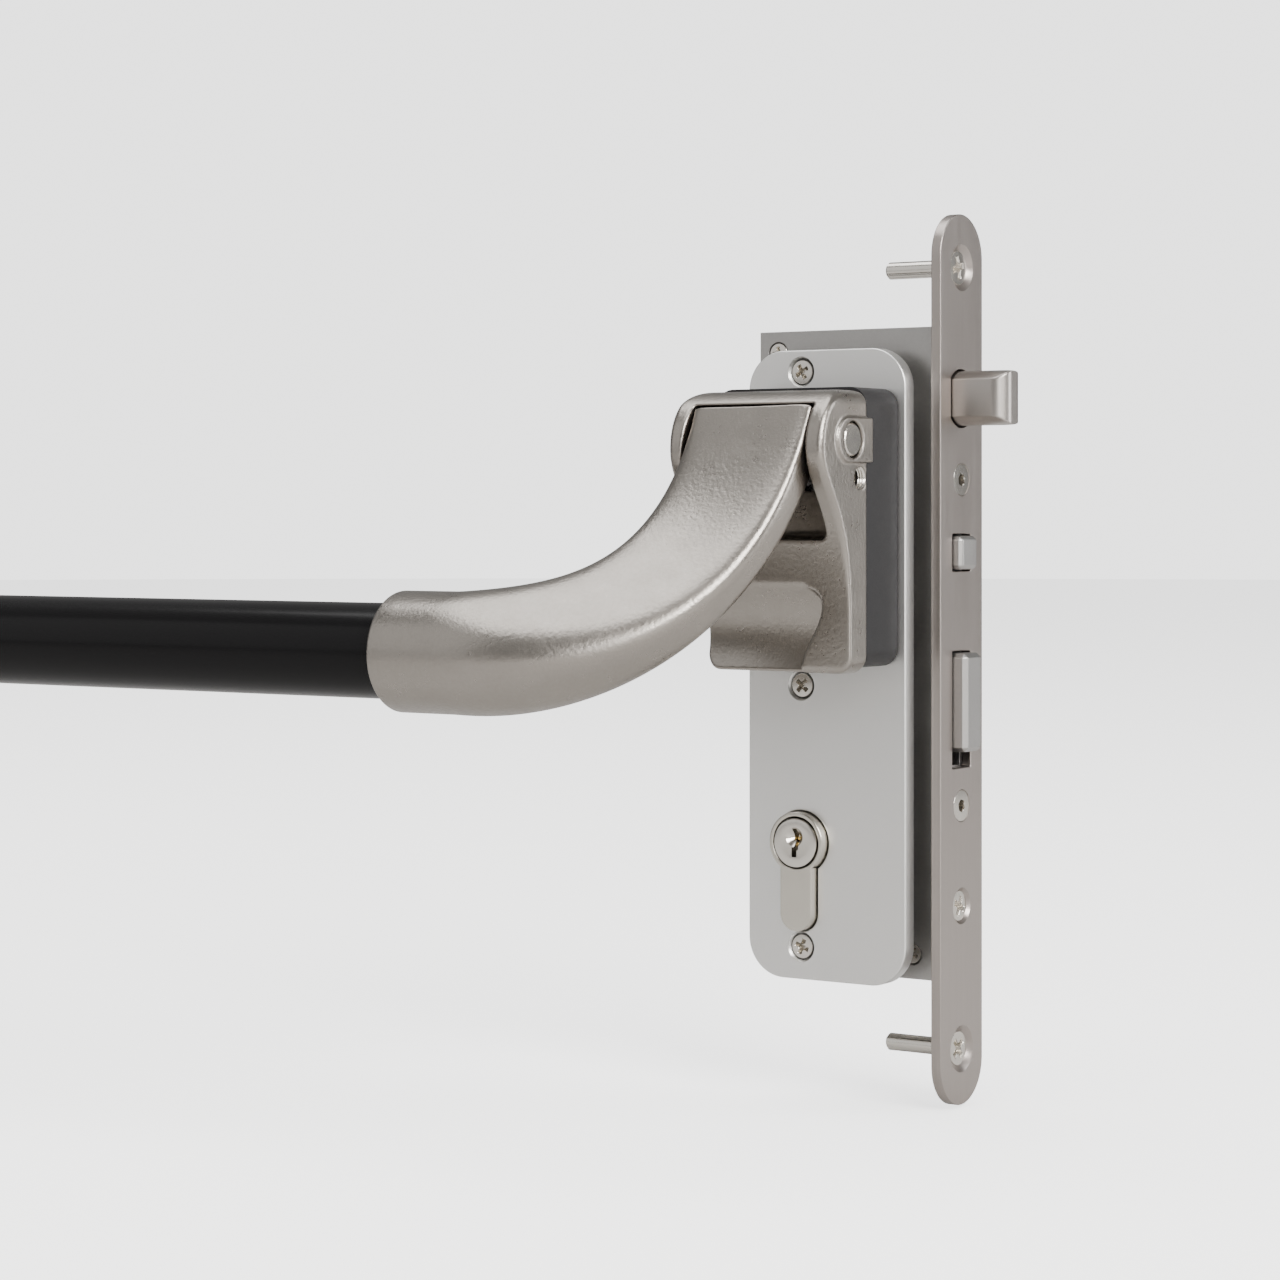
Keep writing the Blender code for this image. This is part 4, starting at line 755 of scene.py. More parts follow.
def level_skin(name: str, field: Grid, low: Grid, step: float) -> bpy.types.Object:
    """Lay a skin of quads where a field crosses zero.

    Each cell of the grid that the surface passes through gets one point, the mean of the places
    where its edges cross zero. Each grid edge that crosses zero gets a quad between the points of
    the four cells round it.

    Args:
        name: The object's name.
        field: The field on a regular grid, negative inside.
        low: The grid's first corner.
        step: The grid's spacing.

    Returns:
        The object.
    """
    shape = np.array(field.shape)
    total = np.zeros((*(shape - 1), 3))
    count = np.zeros(shape - 1)
    for axis in range(3):
        others = [a for a in range(3) if a != axis]
        for offset_a in (0, 1):
            for offset_b in (0, 1):
                near = [0, 0, 0]
                near[others[0]], near[others[1]] = offset_a, offset_b
                far = list(near)
                far[axis] = 1
                a = field[tuple(slice(o, n - 1 + o) for o, n in zip(near, shape))]
                b = field[tuple(slice(o, n - 1 + o) for o, n in zip(far, shape))]
                crossing = (a < 0) != (b < 0)
                gap = np.where(crossing, a - b, 1.0)
                total[..., axis] += np.where(crossing, a / gap, 0)
                total[..., others[0]] += crossing * offset_a
                total[..., others[1]] += crossing * offset_b
                count += crossing
    active = count > 0
    number = np.full(shape - 1, -1)
    number[active] = np.arange(active.sum())
    points = low + (np.argwhere(active) + total[active] / count[active][:, None]) * step
    quads = []
    for axis in range(3):
        u, v = [a for a in range(3) if a != axis]
        inner = [slice(1, n - 1) for n in shape]
        near, far = list(inner), list(inner)
        near[axis], far[axis] = slice(0, shape[axis] - 1), slice(1, shape[axis])
        a, b = field[tuple(near)], field[tuple(far)]
        crossing = (a < 0) != (b < 0)
        corners = []
        for step_u, step_v in ((-1, -1), (0, -1), (0, 0), (-1, 0)):
            cell = [None, None, None]
            cell[axis] = slice(0, shape[axis] - 1)
            cell[u] = slice(1 + step_u, shape[u] - 1 + step_u)
            cell[v] = slice(1 + step_v, shape[v] - 1 + step_v)
            corners.append(number[tuple(cell)][crossing])
        quad = np.stack(corners, axis=1)
        outward = (a[crossing] < 0) ^ (axis == 1)
        quads.append(np.where(outward[:, None], quad, quad[:, ::-1]))
    mesh = bpy.data.meshes.new(name)
    faces = np.concatenate(quads)
    mesh.vertices.add(len(points))
    mesh.vertices.foreach_set("co", points.ravel())
    mesh.loops.add(faces.size)
    mesh.loops.foreach_set("vertex_index", faces.ravel())
    mesh.polygons.add(len(faces))
    mesh.polygons.foreach_set("loop_start", np.arange(len(faces)) * 4)
    mesh.update(calc_edges=True)
    mesh.validate()
    mesh.shade_smooth()
    return put(name, mesh)


# Dressing


def dress(obj: bpy.types.Object, finish: Finish, node: str, body: str) -> bpy.types.Object:
    """Give a new piece its finish, its body and the node that it stands for.

    Args:
        obj: The piece.
        finish: Its finish.
        node: The frame's node that it replaces.
        body: The body that it rides on.

    Returns:
        The piece.
    """
    obj.data.materials.clear()
    obj.data.materials.append(finish.material(obj.name))
    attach(obj, body)
    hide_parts(node)
    LOG.info("%s: %d faces", obj.name, len(obj.data.polygons))
    return obj


def refinish(node: str, finish: Finish) -> None:
    """Give a node of the frame its finish, in its own slots.

    Args:
        node: The node.
        finish: Its finish.
    """
    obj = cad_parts[node]
    material = finish.material(node)
    if not obj.material_slots:
        obj.data.materials.append(material)
    for slot in obj.material_slots:
        slot.material = material


def corners_of(node: str) -> tuple[Grid, Grid]:
    """Give a node's lowest and highest corners, as arrays."""
    low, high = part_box(node)
    return np.array(low), np.array(high)


def middle_of(node: str) -> Grid:
    """Give the middle of a node's box."""
    return sum(corners_of(node)) / 2


def merged_copy(node: str, join_flats: bool = False) -> bpy.types.Mesh:
    """Copy a node's mesh and merge its seams.

    Args:
        node: The node.
        join_flats: Whether faces in one plane are joined too.

    Returns:
        The copy.
    """
    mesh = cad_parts[node].data.copy()
    work = bmesh.new()
    work.from_mesh(mesh)
    bmesh.ops.remove_doubles(work, verts=work.verts, dist=SEAM)
    if join_flats:
        bmesh.ops.dissolve_limit(work, angle_limit=FLAT_ANGLE, verts=work.verts, edges=work.edges)
    work.to_mesh(mesh)
    work.free()
    return mesh


def mirrored(obj: bpy.types.Object, name: str, plane_x: float) -> bpy.types.Object:
    """Make the mirror image of a piece across an upright plane.

    Args:
        obj: The piece.
        name: The new piece's name.
        plane_x: Where the plane stands.

    Returns:
        The new piece, with its faces turned out.
    """
    mesh = obj.data.copy()
    mesh.name = name
    points = points_of(mesh)
    points[:, 0] = 2 * plane_x - points[:, 0]
    mesh.vertices.foreach_set("co", points.ravel())
    mesh.flip_normals()
    mesh.update()
    return put(name, mesh)


def mirror_plane(lock_node: str, hinge_node: str) -> float:
    """Find where the mirror plane stands between a lock-side node and its hinge-side twin."""
    return (corners_of(lock_node)[0][0] + corners_of(hinge_node)[1][0]) / 2


def camera_mix(
    tree: bpy.types.NodeTree, lit: bpy.types.NodeSocket, seen: bpy.types.NodeSocket
) -> bpy.types.NodeSocket:
    """Mix two shaders by the kind of ray.

    Args:
        tree: The tree they are in.
        lit: The shader that other light meets.
        seen: The shader that the camera sees.

    Returns:
        The mixed shader.
    """
    ray = tree.nodes.new("ShaderNodeLightPath")
    mix = tree.nodes.new("ShaderNodeMixShader")
    tree.links.new(ray.outputs["Is Camera Ray"], mix.inputs["Fac"])
    tree.links.new(lit, mix.inputs[1])
    tree.links.new(seen, mix.inputs[2])
    return mix.outputs["Shader"]


# Studio


@dataclass
class Studio:
    """The floor, the lights and the camera."""

    eye: tuple[float, float, float] = (0.459, -0.777, 0.0426)
    turn: float = math.radians(34)
    lens: float = 91.63
    shift: float = -0.101
    floor_radius: float = 7.0
    floor_gap: float = 1.0 * MM
    floor_rings: int = 25
    floor_around: int = 96
    floor_glow: float = 1.9
    air_glow: float = 2.6
    air_light: float = 0.26
    air_rise: float = 0.10
    aim: tuple[float, float, float] = (-0.1, -0.03, 0.0)

    def build(self) -> None:
        """Make everything in the studio."""
        self.floor()
        self.world()
        self.softbox("key", (1.35, -0.78, 0.85), (0.9, 0.9), 48, (1.0, 0.985, 0.96))
        self.softbox("near_right", (1.15, -1.60, 0.30), (0.7, 1.0), 8, (1.0, 0.99, 0.98))
        self.softbox("left_front", (-1.50, -1.95, 0.97), (2.3, 2.1), 11, (1.0, 0.99, 0.98))
        self.softbox("overhead", (-0.5, -0.30, 2.4), (2.6, 1.9), 58, (1.0, 1.0, 1.0))
        self.softbox("edge", (1.3, 0.85, 0.35), (0.7, 1.2), 13, (0.98, 0.99, 1.0))
        self.camera()

    def floor(self) -> None:
        """Lay a round pale floor under the lowest piece: radius and angle give each point."""
        low = CAD_BOUNDS[0][2] - self.floor_gap
        radius = self.floor_radius * np.linspace(0, 1, self.floor_rings) ** 2
        angle = np.linspace(0, 2 * math.pi, self.floor_around, endpoint=False)
        x, y = np.outer(radius, np.cos(angle)), np.outer(radius, np.sin(angle))
        obj = skin("studio_floor", np.stack((x, y, np.full_like(x, low)), axis=-1), caps=False)
        if obj.data.polygons[0].normal.z < 0:
            obj.data.flip_normals()
        obj.data.materials.append(self.floor_material())

    def floor_material(self) -> bpy.types.Material:
        """Make the floor's material, which throws only part of its light back on the metal.

        Returns:
            The material.
        """
        material = FLOOR.material("floor")
        tree = material.node_tree
        pale = tree.nodes["Principled BSDF"]
        dim = tree.nodes.new("ShaderNodeBsdfDiffuse")
        dim.inputs["Color"].default_value = (0.60, 0.59, 0.58, 1)
        glow = tree.nodes.new("ShaderNodeEmission")
        glow.inputs["Strength"].default_value = self.floor_glow
        both = tree.nodes.new("ShaderNodeAddShader")
        tree.links.new(pale.outputs["BSDF"], both.inputs[0])
        tree.links.new(glow.outputs["Emission"], both.inputs[1])
        mixed = camera_mix(tree, dim.outputs["BSDF"], both.outputs["Shader"])
        tree.links.new(mixed, tree.nodes["Material Output"].inputs["Surface"])
        return material

    def world(self) -> None:
        """Light the air evenly, a little brighter from above, and pale to the camera."""
        world = bpy.data.worlds.new("studio_air")
        bpy.context.scene.world = world
        world.use_nodes = True
        tree = world.node_tree
        tree.nodes.clear()
        place = tree.nodes.new("ShaderNodeTexCoord")
        split = tree.nodes.new("ShaderNodeSeparateXYZ")
        tree.links.new(place.outputs["Generated"], split.inputs["Vector"])
        rise = math_node(tree, "MULTIPLY_ADD", split.outputs["Z"], self.air_rise, self.air_light)
        lit = tree.nodes.new("ShaderNodeBackground")
        lit.inputs["Color"].default_value = (1, 0.995, 0.985, 1)
        tree.links.new(rise, lit.inputs["Strength"])
        seen = tree.nodes.new("ShaderNodeBackground")
        seen.inputs["Color"].default_value = (1.0, 1.0, 0.995, 1)
        seen.inputs["Strength"].default_value = self.air_glow
        output = tree.nodes.new("ShaderNodeOutputWorld")
        mixed = camera_mix(tree, lit.outputs["Background"], seen.outputs["Background"])
        tree.links.new(mixed, output.inputs["Surface"])

    def softbox(self, name: str, place: tuple, size: tuple, power: float, colour: tuple) -> None:
        """Hang a large soft light that faces the middle of the bar's lock end.

        Args:
            name: The light's name.
            place: Where it hangs.
            size: Its width and height.
            power: Its power in watts.
            colour: Its colour.
        """
        light = bpy.data.lights.new(name, "AREA")
        light.shape = "RECTANGLE"
        light.size, light.size_y = size
        light.energy = power
        light.color = colour
        obj = put(name, light)
        obj.location = place
        aim = Vector(self.aim) - Vector(place)
        obj.rotation_euler = aim.to_track_quat("-Z", "Y").to_euler()

    def camera(self) -> None:
        """Set the camera level, with its lens shifted down."""
        data = bpy.data.cameras.new("camera")
        data.lens = self.lens
        data.sensor_width = 36
        data.shift_y = self.shift
        data.clip_start = 0.01
        obj = put("camera", data)
        obj.location = self.eye
        obj.rotation_euler = (math.pi / 2, 0, self.turn)
        bpy.context.scene.camera = obj


# Pieces


def eased(
    node: str, body: str, finish: Finish, width: float = 0.35 * MM, segments: int = 2, angle: float = 35
) -> bpy.types.Object:
    """Make a piece from a node's own solid, with its seams merged and its sharp edges rounded.

    Args:
        node: The node.
        body: The body that it rides on.
        finish: Its finish.
        width: Width of the rounded edges.
        segments: Steps across an edge.
        angle: The least angle, in degrees, of an edge that is rounded.

    Returns:
        The piece, named after its node.
    """
    obj = put(f"visual_{node}", merged_copy(node, join_flats=True))
    bevel = obj.modifiers.new("edges", "BEVEL")
    bevel.width = width
    bevel.segments = segments
    bevel.limit_method = "ANGLE"
    bevel.angle_limit = math.radians(angle)
    bevel.harden_normals = False
    obj.data = applied(obj)
    obj.modifiers.clear()
    flatten(obj, 40)
    return dress(obj, finish, node, body)


@dataclass
class LeverArm:
    """A cast lever arm: flat at the hinge, round at the bar's socket."""

    side: Side
    width: float = 36.8 * MM
    thickness: float = 10.8 * MM
    lean: float = math.radians(24.5)
    top_depth: float = 11.5 * MM
    top_height: float = 9.1 * MM
    shank: float = 61 * MM
    sweep: float = 31 * MM
    shank_side: float = 0.8 * MM
    wall: float = 3.4 * MM
    straight: float = 18.4 * MM
    depth: float = 27 * MM
    hub: float = 9.5 * MM
    bush: float = 6.6 * MM
    nose_reach: float = 19.4 * MM
    nose_tip: float = 3.2 * MM
    nose_width: float = 7 * MM
    travel: float = math.radians(22)
    grub_from_mouth: float = 9 * MM
    grub: float = 3.1 * MM
    mouth_round: float = 1.0 * MM
    crown_round: float = 0.55 * MM
    hub_round: float = 0.5 * MM
    neck: float = 2 * MM
    bar_play: float = 0.4 * MM
    bore_flare: float = 1.6 * MM
    bore_flare_depth: float = 0.6 * MM
    mouth_length: float = 6 * MM
    width_power: float = 1.5
    depth_power: float = 1.4
    rows: int = 130
    around: int = 144

    def places(self) -> None:
        """Read the hinge, the bar and the socket's mouth from the frame."""
        tube_low, tube_high = corners_of("bar_tube")
        arm_low, arm_high = corners_of("lever_arm")
        self.pivot = middle_of("pivot_pin")
        self.pivot[0] = arm_high[0] - self.width / 2
        self.bar = (tube_low + tube_high) / 2
        self.bar_radius = (tube_high[2] - tube_low[2]) / 2
        self.radius = self.bar_radius + self.wall
        self.mouth_x = arm_low[0]

    def sections(self) -> Grid:
        """Rings along the arm.

        The middle line is a cubic curve from the hinge's upper edge to the socket. Each ring is a
        superellipse across it, whose width, depth and squareness ease from the hinge's to the
        socket's, and whose outer direction turns from the lean of the front face to 45 degrees.

        Returns:
            Points, of shape (rows, around, 3).
        """
        t = np.linspace(0, 1, self.rows)[:, None]
        hinge_out = np.array((0, -math.cos(self.lean), math.sin(self.lean)))
        socket_out = np.array((0, -math.sqrt(0.5), math.sqrt(0.5)))
        down = np.array((0, -math.sin(self.lean), -math.cos(self.lean)))
        edge = self.pivot + np.array((0, -self.top_depth, self.top_height))
        start = edge - hinge_out * self.thickness / 2
        end = np.array((self.mouth_x + self.straight, self.bar[1], self.bar[2]))
        first = start + down * self.shank + np.array((self.shank_side, 0, 0))
        second = end + np.array((self.sweep, 0, 0))
        centre = cubic(t, start, first, second, end)
        along = (1 - t) ** 2 * (first - start) + 2 * t * (1 - t) * (second - first) + t * t * (end - second)
        along /= np.linalg.norm(along, axis=1, keepdims=True)
        ease = t * t * (3 - 2 * t)
        out = hinge_out + (socket_out - hinge_out) * ease
        out = out - along * (out * along).sum(axis=1, keepdims=True)
        out /= np.linalg.norm(out, axis=1, keepdims=True)
        across = np.cross(out, along)
        half_width = self.width / 2 + (self.radius - self.width / 2) * ease**self.width_power
        half_depth = self.thickness / 2 + (self.radius - self.thickness / 2) * ease**self.depth_power
        squareness = 2 + 3.2 * (1 - t) ** 1.2 + 5 * (1 - t) ** 8  # 2 is round
        power = 2 / squareness
        angle = np.linspace(0, 2 * math.pi, self.around, endpoint=False)[None, :]
        u = np.copysign(np.abs(np.cos(angle)) ** power, np.cos(angle)) * half_width
        v = np.copysign(np.abs(np.sin(angle)) ** power, np.sin(angle)) * half_depth
        body = centre[:, None] + u[..., None] * across[:, None] + v[..., None] * out[:, None]
        crown = self.crown(body[0], centre[0], along[0])
        return np.concatenate((crown, body[1:], self.mouth(angle[0])))

    def crown(self, ring: Grid, centre: Grid, along: Grid) -> Grid:
        """Round the hinge end: the first ring shrinks on a quarter circle as it goes up.

        Args:
            ring: The first ring's points.
            centre: Its middle.
            along: The direction from the hinge to the socket there.

        Returns:
            Rings of points.
        """
        size = self.crown_round
        turn = np.linspace(0, math.pi / 2, 6)[:, None, None]
        spread = ring - centre
        reach = np.linalg.norm(spread, axis=1, keepdims=True)
        inward = 1 - size * (1 - np.sin(turn)) / reach
        return centre + spread * inward + along * size * (1 - np.cos(turn))

    def mouth(self, angle: Grid) -> Grid:
        """Give the straight socket's rings, its mouth's edge rounded on a quarter circle.

        Args:
            angle: The points' angles round the socket.

        Returns:
            Rings of points.
        """
        turn = np.linspace(0, math.pi / 2, 7)
        x = np.append(self.mouth_x + self.mouth_length, self.mouth_x + self.mouth_round * (1 - np.sin(turn)))
        size = np.append(self.radius, self.radius - self.mouth_round * (1 - np.cos(turn)))
        phase = angle[None, :]
        out = np.array((0, -math.sqrt(0.5), math.sqrt(0.5)))
        across = np.array((0, -math.sqrt(0.5), -math.sqrt(0.5)))
        ring = np.cos(phase)[..., None] * across + np.sin(phase)[..., None] * out
        middle = np.stack((x, np.full_like(x, self.bar[1]), np.full_like(x, self.bar[2])), axis=1)
        return middle[:, None] + size[:, None, None] * ring

    def build(self) -> None:
        """Join the arm, its hub and nose, and bore it for its pin, the bar and the grub screw."""
        self.places()
        name = f"{self.side.value}cast_lever_arm"
        arm = skin(name, self.sections())
        half, ease = self.width / 2 - 0.1 * MM, self.hub_round
        hub_profile = [(0, -half), (self.hub - ease, -half), (self.hub, -half + ease)]
        hub_profile += [(self.hub, half - ease), (self.hub - ease, half), (0, half)]
        joined = [turned("hub", hub_profile, self.pivot, X_AXIS, 96)]
        if self.side is Side.LOCK:
            joined.append(self.nose())
        combine(arm, joined, "UNION")
        bores = [rod("bush_bore", self.bush, (-half - MM, half + MM), self.pivot, X_AXIS)]
        inner = self.bar_radius + self.bar_play
        mouth = np.array((self.mouth_x, self.bar[1], self.bar[2]))
        profile = [(0, -MM), (inner + self.bore_flare, -MM), (inner, self.bore_flare_depth)]
        profile += [(inner, self.depth), (0, self.depth)]
        bores.append(turned("bar_bore", profile, mouth, X_AXIS, 96))
        grub = mouth + np.array((self.grub_from_mouth, self.radius, 0))
        bores.append(rod("grub_bore", self.grub, (-6 * MM, MM), grub, Y_AXIS, 40))
        combine(arm, bores, "DIFFERENCE")
        if self.side is Side.HINGE:
            twin = mirrored(arm, name, mirror_plane("lever_arm", "hinge_lever_arm"))
            bpy.data.objects.remove(arm, do_unlink=True)
            arm = twin
            arm.name = name
        smooth(arm, 28)
        dress(arm, CAST, f"{self.side.value}lever_arm", "push_bar")

    def nose(self) -> bpy.types.Object:
        """Make the slider's nose: a neck with a round tip, swung half the travel down.

        Returns:
            The nose.
        """
        half_opening = math.degrees(math.asin(self.neck / self.nose_tip))
        reach = self.nose_reach - math.sqrt(self.nose_tip**2 - self.neck**2)
        loop = [(0.0, -self.neck), (reach, -self.neck)]
        loop += arc((self.nose_reach, 0), self.nose_tip, half_opening - 180, 180 - half_opening, 32)[1:-1]
        loop += [(reach, self.neck), (0.0, self.neck)]
        lean = -self.travel / 2
        u, v = np.array(loop).T
        y = self.pivot[1] + u * math.cos(lean) - v * math.sin(lean)
        z = self.pivot[2] + u * math.sin(lean) + v * math.cos(lean)
        middle, half = middle_of("drive_slider")[0], self.nose_width / 2
        rows = [np.stack((np.full_like(y, middle + s * half), y, z), axis=1) for s in (-1, 1)]
        return skin("nose", np.stack(rows))


@dataclass
class Bracket:
    """The cast bracket: two ears, a bridge over the arm, a bay for it and a scooped pocket."""

    step: float = 0.42 * MM
    boss_proud: float = 0.9 * MM
    ear_depth: float = 23.5 * MM
    body_depth: float = 8.8 * MM
    corner: float = 5 * MM
    ear: float = 5.2 * MM
    bay_ease: float = 1.5 * MM
    bay_wall: float = 2 * MM
    crown_drop: float = 32.3 * MM
    pocket_radius: float = 20 * MM
    pocket_depth: float = 5.8 * MM
    pocket_slope: float = 6.4 * MM
    boss_height: float = 12 * MM
    set_screw: float = 3.0 * MM
    rim: float = 0.3 * MM
    bay_rim: float = 0.7 * MM
    bay_cove: float = 2.6 * MM
    bay_top: float = 27.8 * MM
    bay_foot: float = 8 * MM
    ear_front: float = 16 * MM
    body_front: float = 26 * MM
    pocket_rise: float = 8.9 * MM
    pocket_end: float = 15.6 * MM
    pocket_corner: float = 3.6 * MM
    pocket_corner_rise: float = 4.2 * MM
    screw_hole: float = 2.5 * MM
    play: float = 0.4 * MM

    def profile(self) -> Points:
        """Outline the side: ears that stand forward and fall in an S to the thinner lower body.

        Returns:
            The outline, as pairs of Y and Z.
        """
        front, body = self.back - self.ear_depth, self.back - self.body_depth
        front_z, body_z = self.level + self.ear_front, self.level - self.body_front
        past = self.back + 4 * MM
        loop = [(past, self.bottom), (past, self.top), (self.back - 7 * MM, self.top)]
        crown = ((self.back - 7 * MM, self.top), (front + 7 * MM, self.top), (front, front_z + 10 * MM))
        fall = ((front, front_z - 11 * MM), (body - 0.7 * MM, self.level), (body, body_z))
        for count, points in ((28, (*crown, (front, front_z))), (32, ((front, front_z), *fall))):
            t = np.linspace(0, 1, count, endpoint=False)[:, None]
            loop += [tuple(p) for p in cubic(t, *(np.array(p) for p in points)).tolist()]
        loop += [(body, body_z)] + arc((body + 2 * MM, self.bottom + 2 * MM), 2 * MM, 180, 270, 10)
        return loop

    def field(self, x: Grid, y: Grid, z: Grid) -> Grid:
        """Measure the distance to the casting, for points on a grid.

        The side profile is met with the outline as seen from the front. The arm's bay, the scooped
        pocket, the pin's bore and the screw holes are taken away with rounded rims, and the
        D-shaped boss is added.

        Args:
            x: The points' places along X.
            y: Along Y.
            z: Along Z.

        Returns:
            The distances, negative inside.
        """
        side = polygon_field(y, z, self.profile())
        low, high = (self.left, -90 * MM, self.bottom), (self.right, 90 * MM, self.top)
        front = box_field(x, 0 * y, z, low, high, self.corner)
        rise = np.clip((z - self.level + 30 * MM) / (34 * MM), 0, 1)
        rim = (0.55 + 1.25 * rise * rise * (3 - 2 * rise)) * MM
        body = meet(side, front, rim)
        body = meet(body, y - self.back + 0 * body, self.rim)
        near = self.back - self.ear_depth - 6 * MM
        bay_right = self.right - self.ear
        drop = np.clip((self.level + 27 * MM - z) / (16 * MM), 0, 1)
        bay_left = self.left + self.ear + 0.1 * MM - self.bay_ease * drop
        low = (bay_left, near, self.level + 5 * MM)
        high = (bay_right, self.back + 5 * MM, self.level + self.bay_top)
        open_part = box_field(x, y, z, low, high, self.bay_rim)
        low = (bay_left, near, self.level - self.bay_foot)
        high = (bay_right, self.back - self.bay_wall, self.level + 9 * MM)
        low_part = box_field(x, y, z, low, high, self.bay_cove)
        body = meet(body, -np.minimum(open_part, low_part), self.bay_rim)
        body = meet(body, -self.pocket(x, y, z), 1.0 * MM)
        boss_half, tip = self.boss_height / 2, self.right + self.boss_proud
        outline = arc((self.pin[1] - 2 * MM, self.pin[2]), boss_half, 90, 270, 40)
        outline += [(self.back + 2 * MM, self.pin[2] + s * boss_half) for s in (-1, 1)]
        slab = np.maximum(x - tip, self.right - 3 * MM - x)
        boss = meet(polygon_field(y, z, outline) + 0 * x, slab, 0.4 * MM)
        body = blend_on(body, boss, 0.25 * MM)
        bore = np.hypot(y - self.pin[1], z - self.pin[2]) - self.pin_radius - self.play
        body = meet(body, -(bore + 0 * x), self.rim)
        hole = np.hypot(y - self.screw[1], z - self.screw[2]) - self.set_screw
        hole = np.maximum(hole + 0 * x, bay_right - 2 * MM - x)
        body = meet(body, -hole, 0.35 * MM)
        for node in ("bracket_screw_lower", "bracket_screw_right", "bracket_screw_left"):
            place, tip_y = middle_of(node), corners_of(node)[0][1]
            shank = np.hypot(x - place[0], z - place[2]) - self.screw_hole
            body = np.maximum(body, -np.maximum(shank + 0 * y, tip_y - self.play - y))
        return body

    def pocket(self, x: Grid, y: Grid, z: Grid) -> Grid:
        """Measure the distance to the scoop: a lying cylinder, closed by an S-curved end.

        Args:
            x: The points' places along X.
            y: Along Y.
            z: Along Z.

        Returns:
            The distances, negative inside.
        """
        middle_y = self.back - self.body_depth + self.pocket_depth - self.pocket_radius
        middle_z = self.bottom + self.pocket_rise
        round_part = np.hypot(y - middle_y, z - middle_z) - self.pocket_radius
        share = np.clip((z - middle_z + 8 * MM) / (17 * MM), 0, 1)
        end = self.right - self.pocket_end + self.pocket_slope * share * share * (3 - 2 * share)
        top = np.clip((z - middle_z - 9.8 * MM) / self.pocket_corner_rise, 0, 1)
        end = end - self.pocket_corner * (1 - np.sqrt(1 - top * top))
        return meet(round_part + 0 * x, x - end + 0 * y, 1.8 * MM)

    def build(self) -> None:
        """Lay the casting's skin, mirror it for the hinge side and dress both."""
        low, high = corners_of("bracket")
        pin_low, pin_high = corners_of("pivot_pin")
        self.left, self.right = low[0], high[0] - self.boss_proud
        self.back, self.bottom, self.top = low[1] + self.ear_depth, low[2], high[2]
        self.level = self.top - self.crown_drop
        self.pin, self.screw = middle_of("pivot_pin"), middle_of("pin_set_screw")
        self.pin_radius = (pin_high[2] - pin_low[2]) / 2
        start = low - 3.3 * self.step
        counts = np.ceil((high - low) / self.step).astype(int) + 8
        x, y, z = (start[i] + self.step * np.arange(counts[i]) for i in range(3))
        field = self.field(x[:, None, None], y[None, :, None], z[None, None, :])
        lock = level_skin("cast_bracket", field, start, self.step)
        hinge = mirrored(lock, "hinge_cast_bracket", mirror_plane("bracket", "hinge_bracket"))
        dress(lock, CAST, "bracket", "mounting")
        dress(hinge, CAST, "hinge_bracket", "mounting")


@dataclass(frozen=True)
class ScrewKind:
    """Sizes of a countersunk screw's head, as shares of the head's radius."""

    drive: Drive
    recess: float
    slot: float
    depth: float
    rings: int = 34
    around: int = 96


CROSS = ScrewKind(Drive.CROSS, 0.66, 0.19, 0.55)
SOCKET = ScrewKind(Drive.HEX, 0.36, 0.36, 0.8)


def head_of(node: str, axis: tuple[float, float, float]) -> tuple[Grid, float, float]:
    """Find a screw's head.

    Args:
        node: The screw's node.
        axis: The direction that its head faces.

    Returns:
        The middle of the head's face, the head's radius and the screw's length.
    """
    low, high = corners_of(node)
    side = int(np.argmax(np.abs(axis)))
    radius = max(high[i] - low[i] for i in range(3) if i != side) / 2
    length = high[side] - low[side]
    return (low + high) / 2 + np.array(axis) * length / 2, radius, length


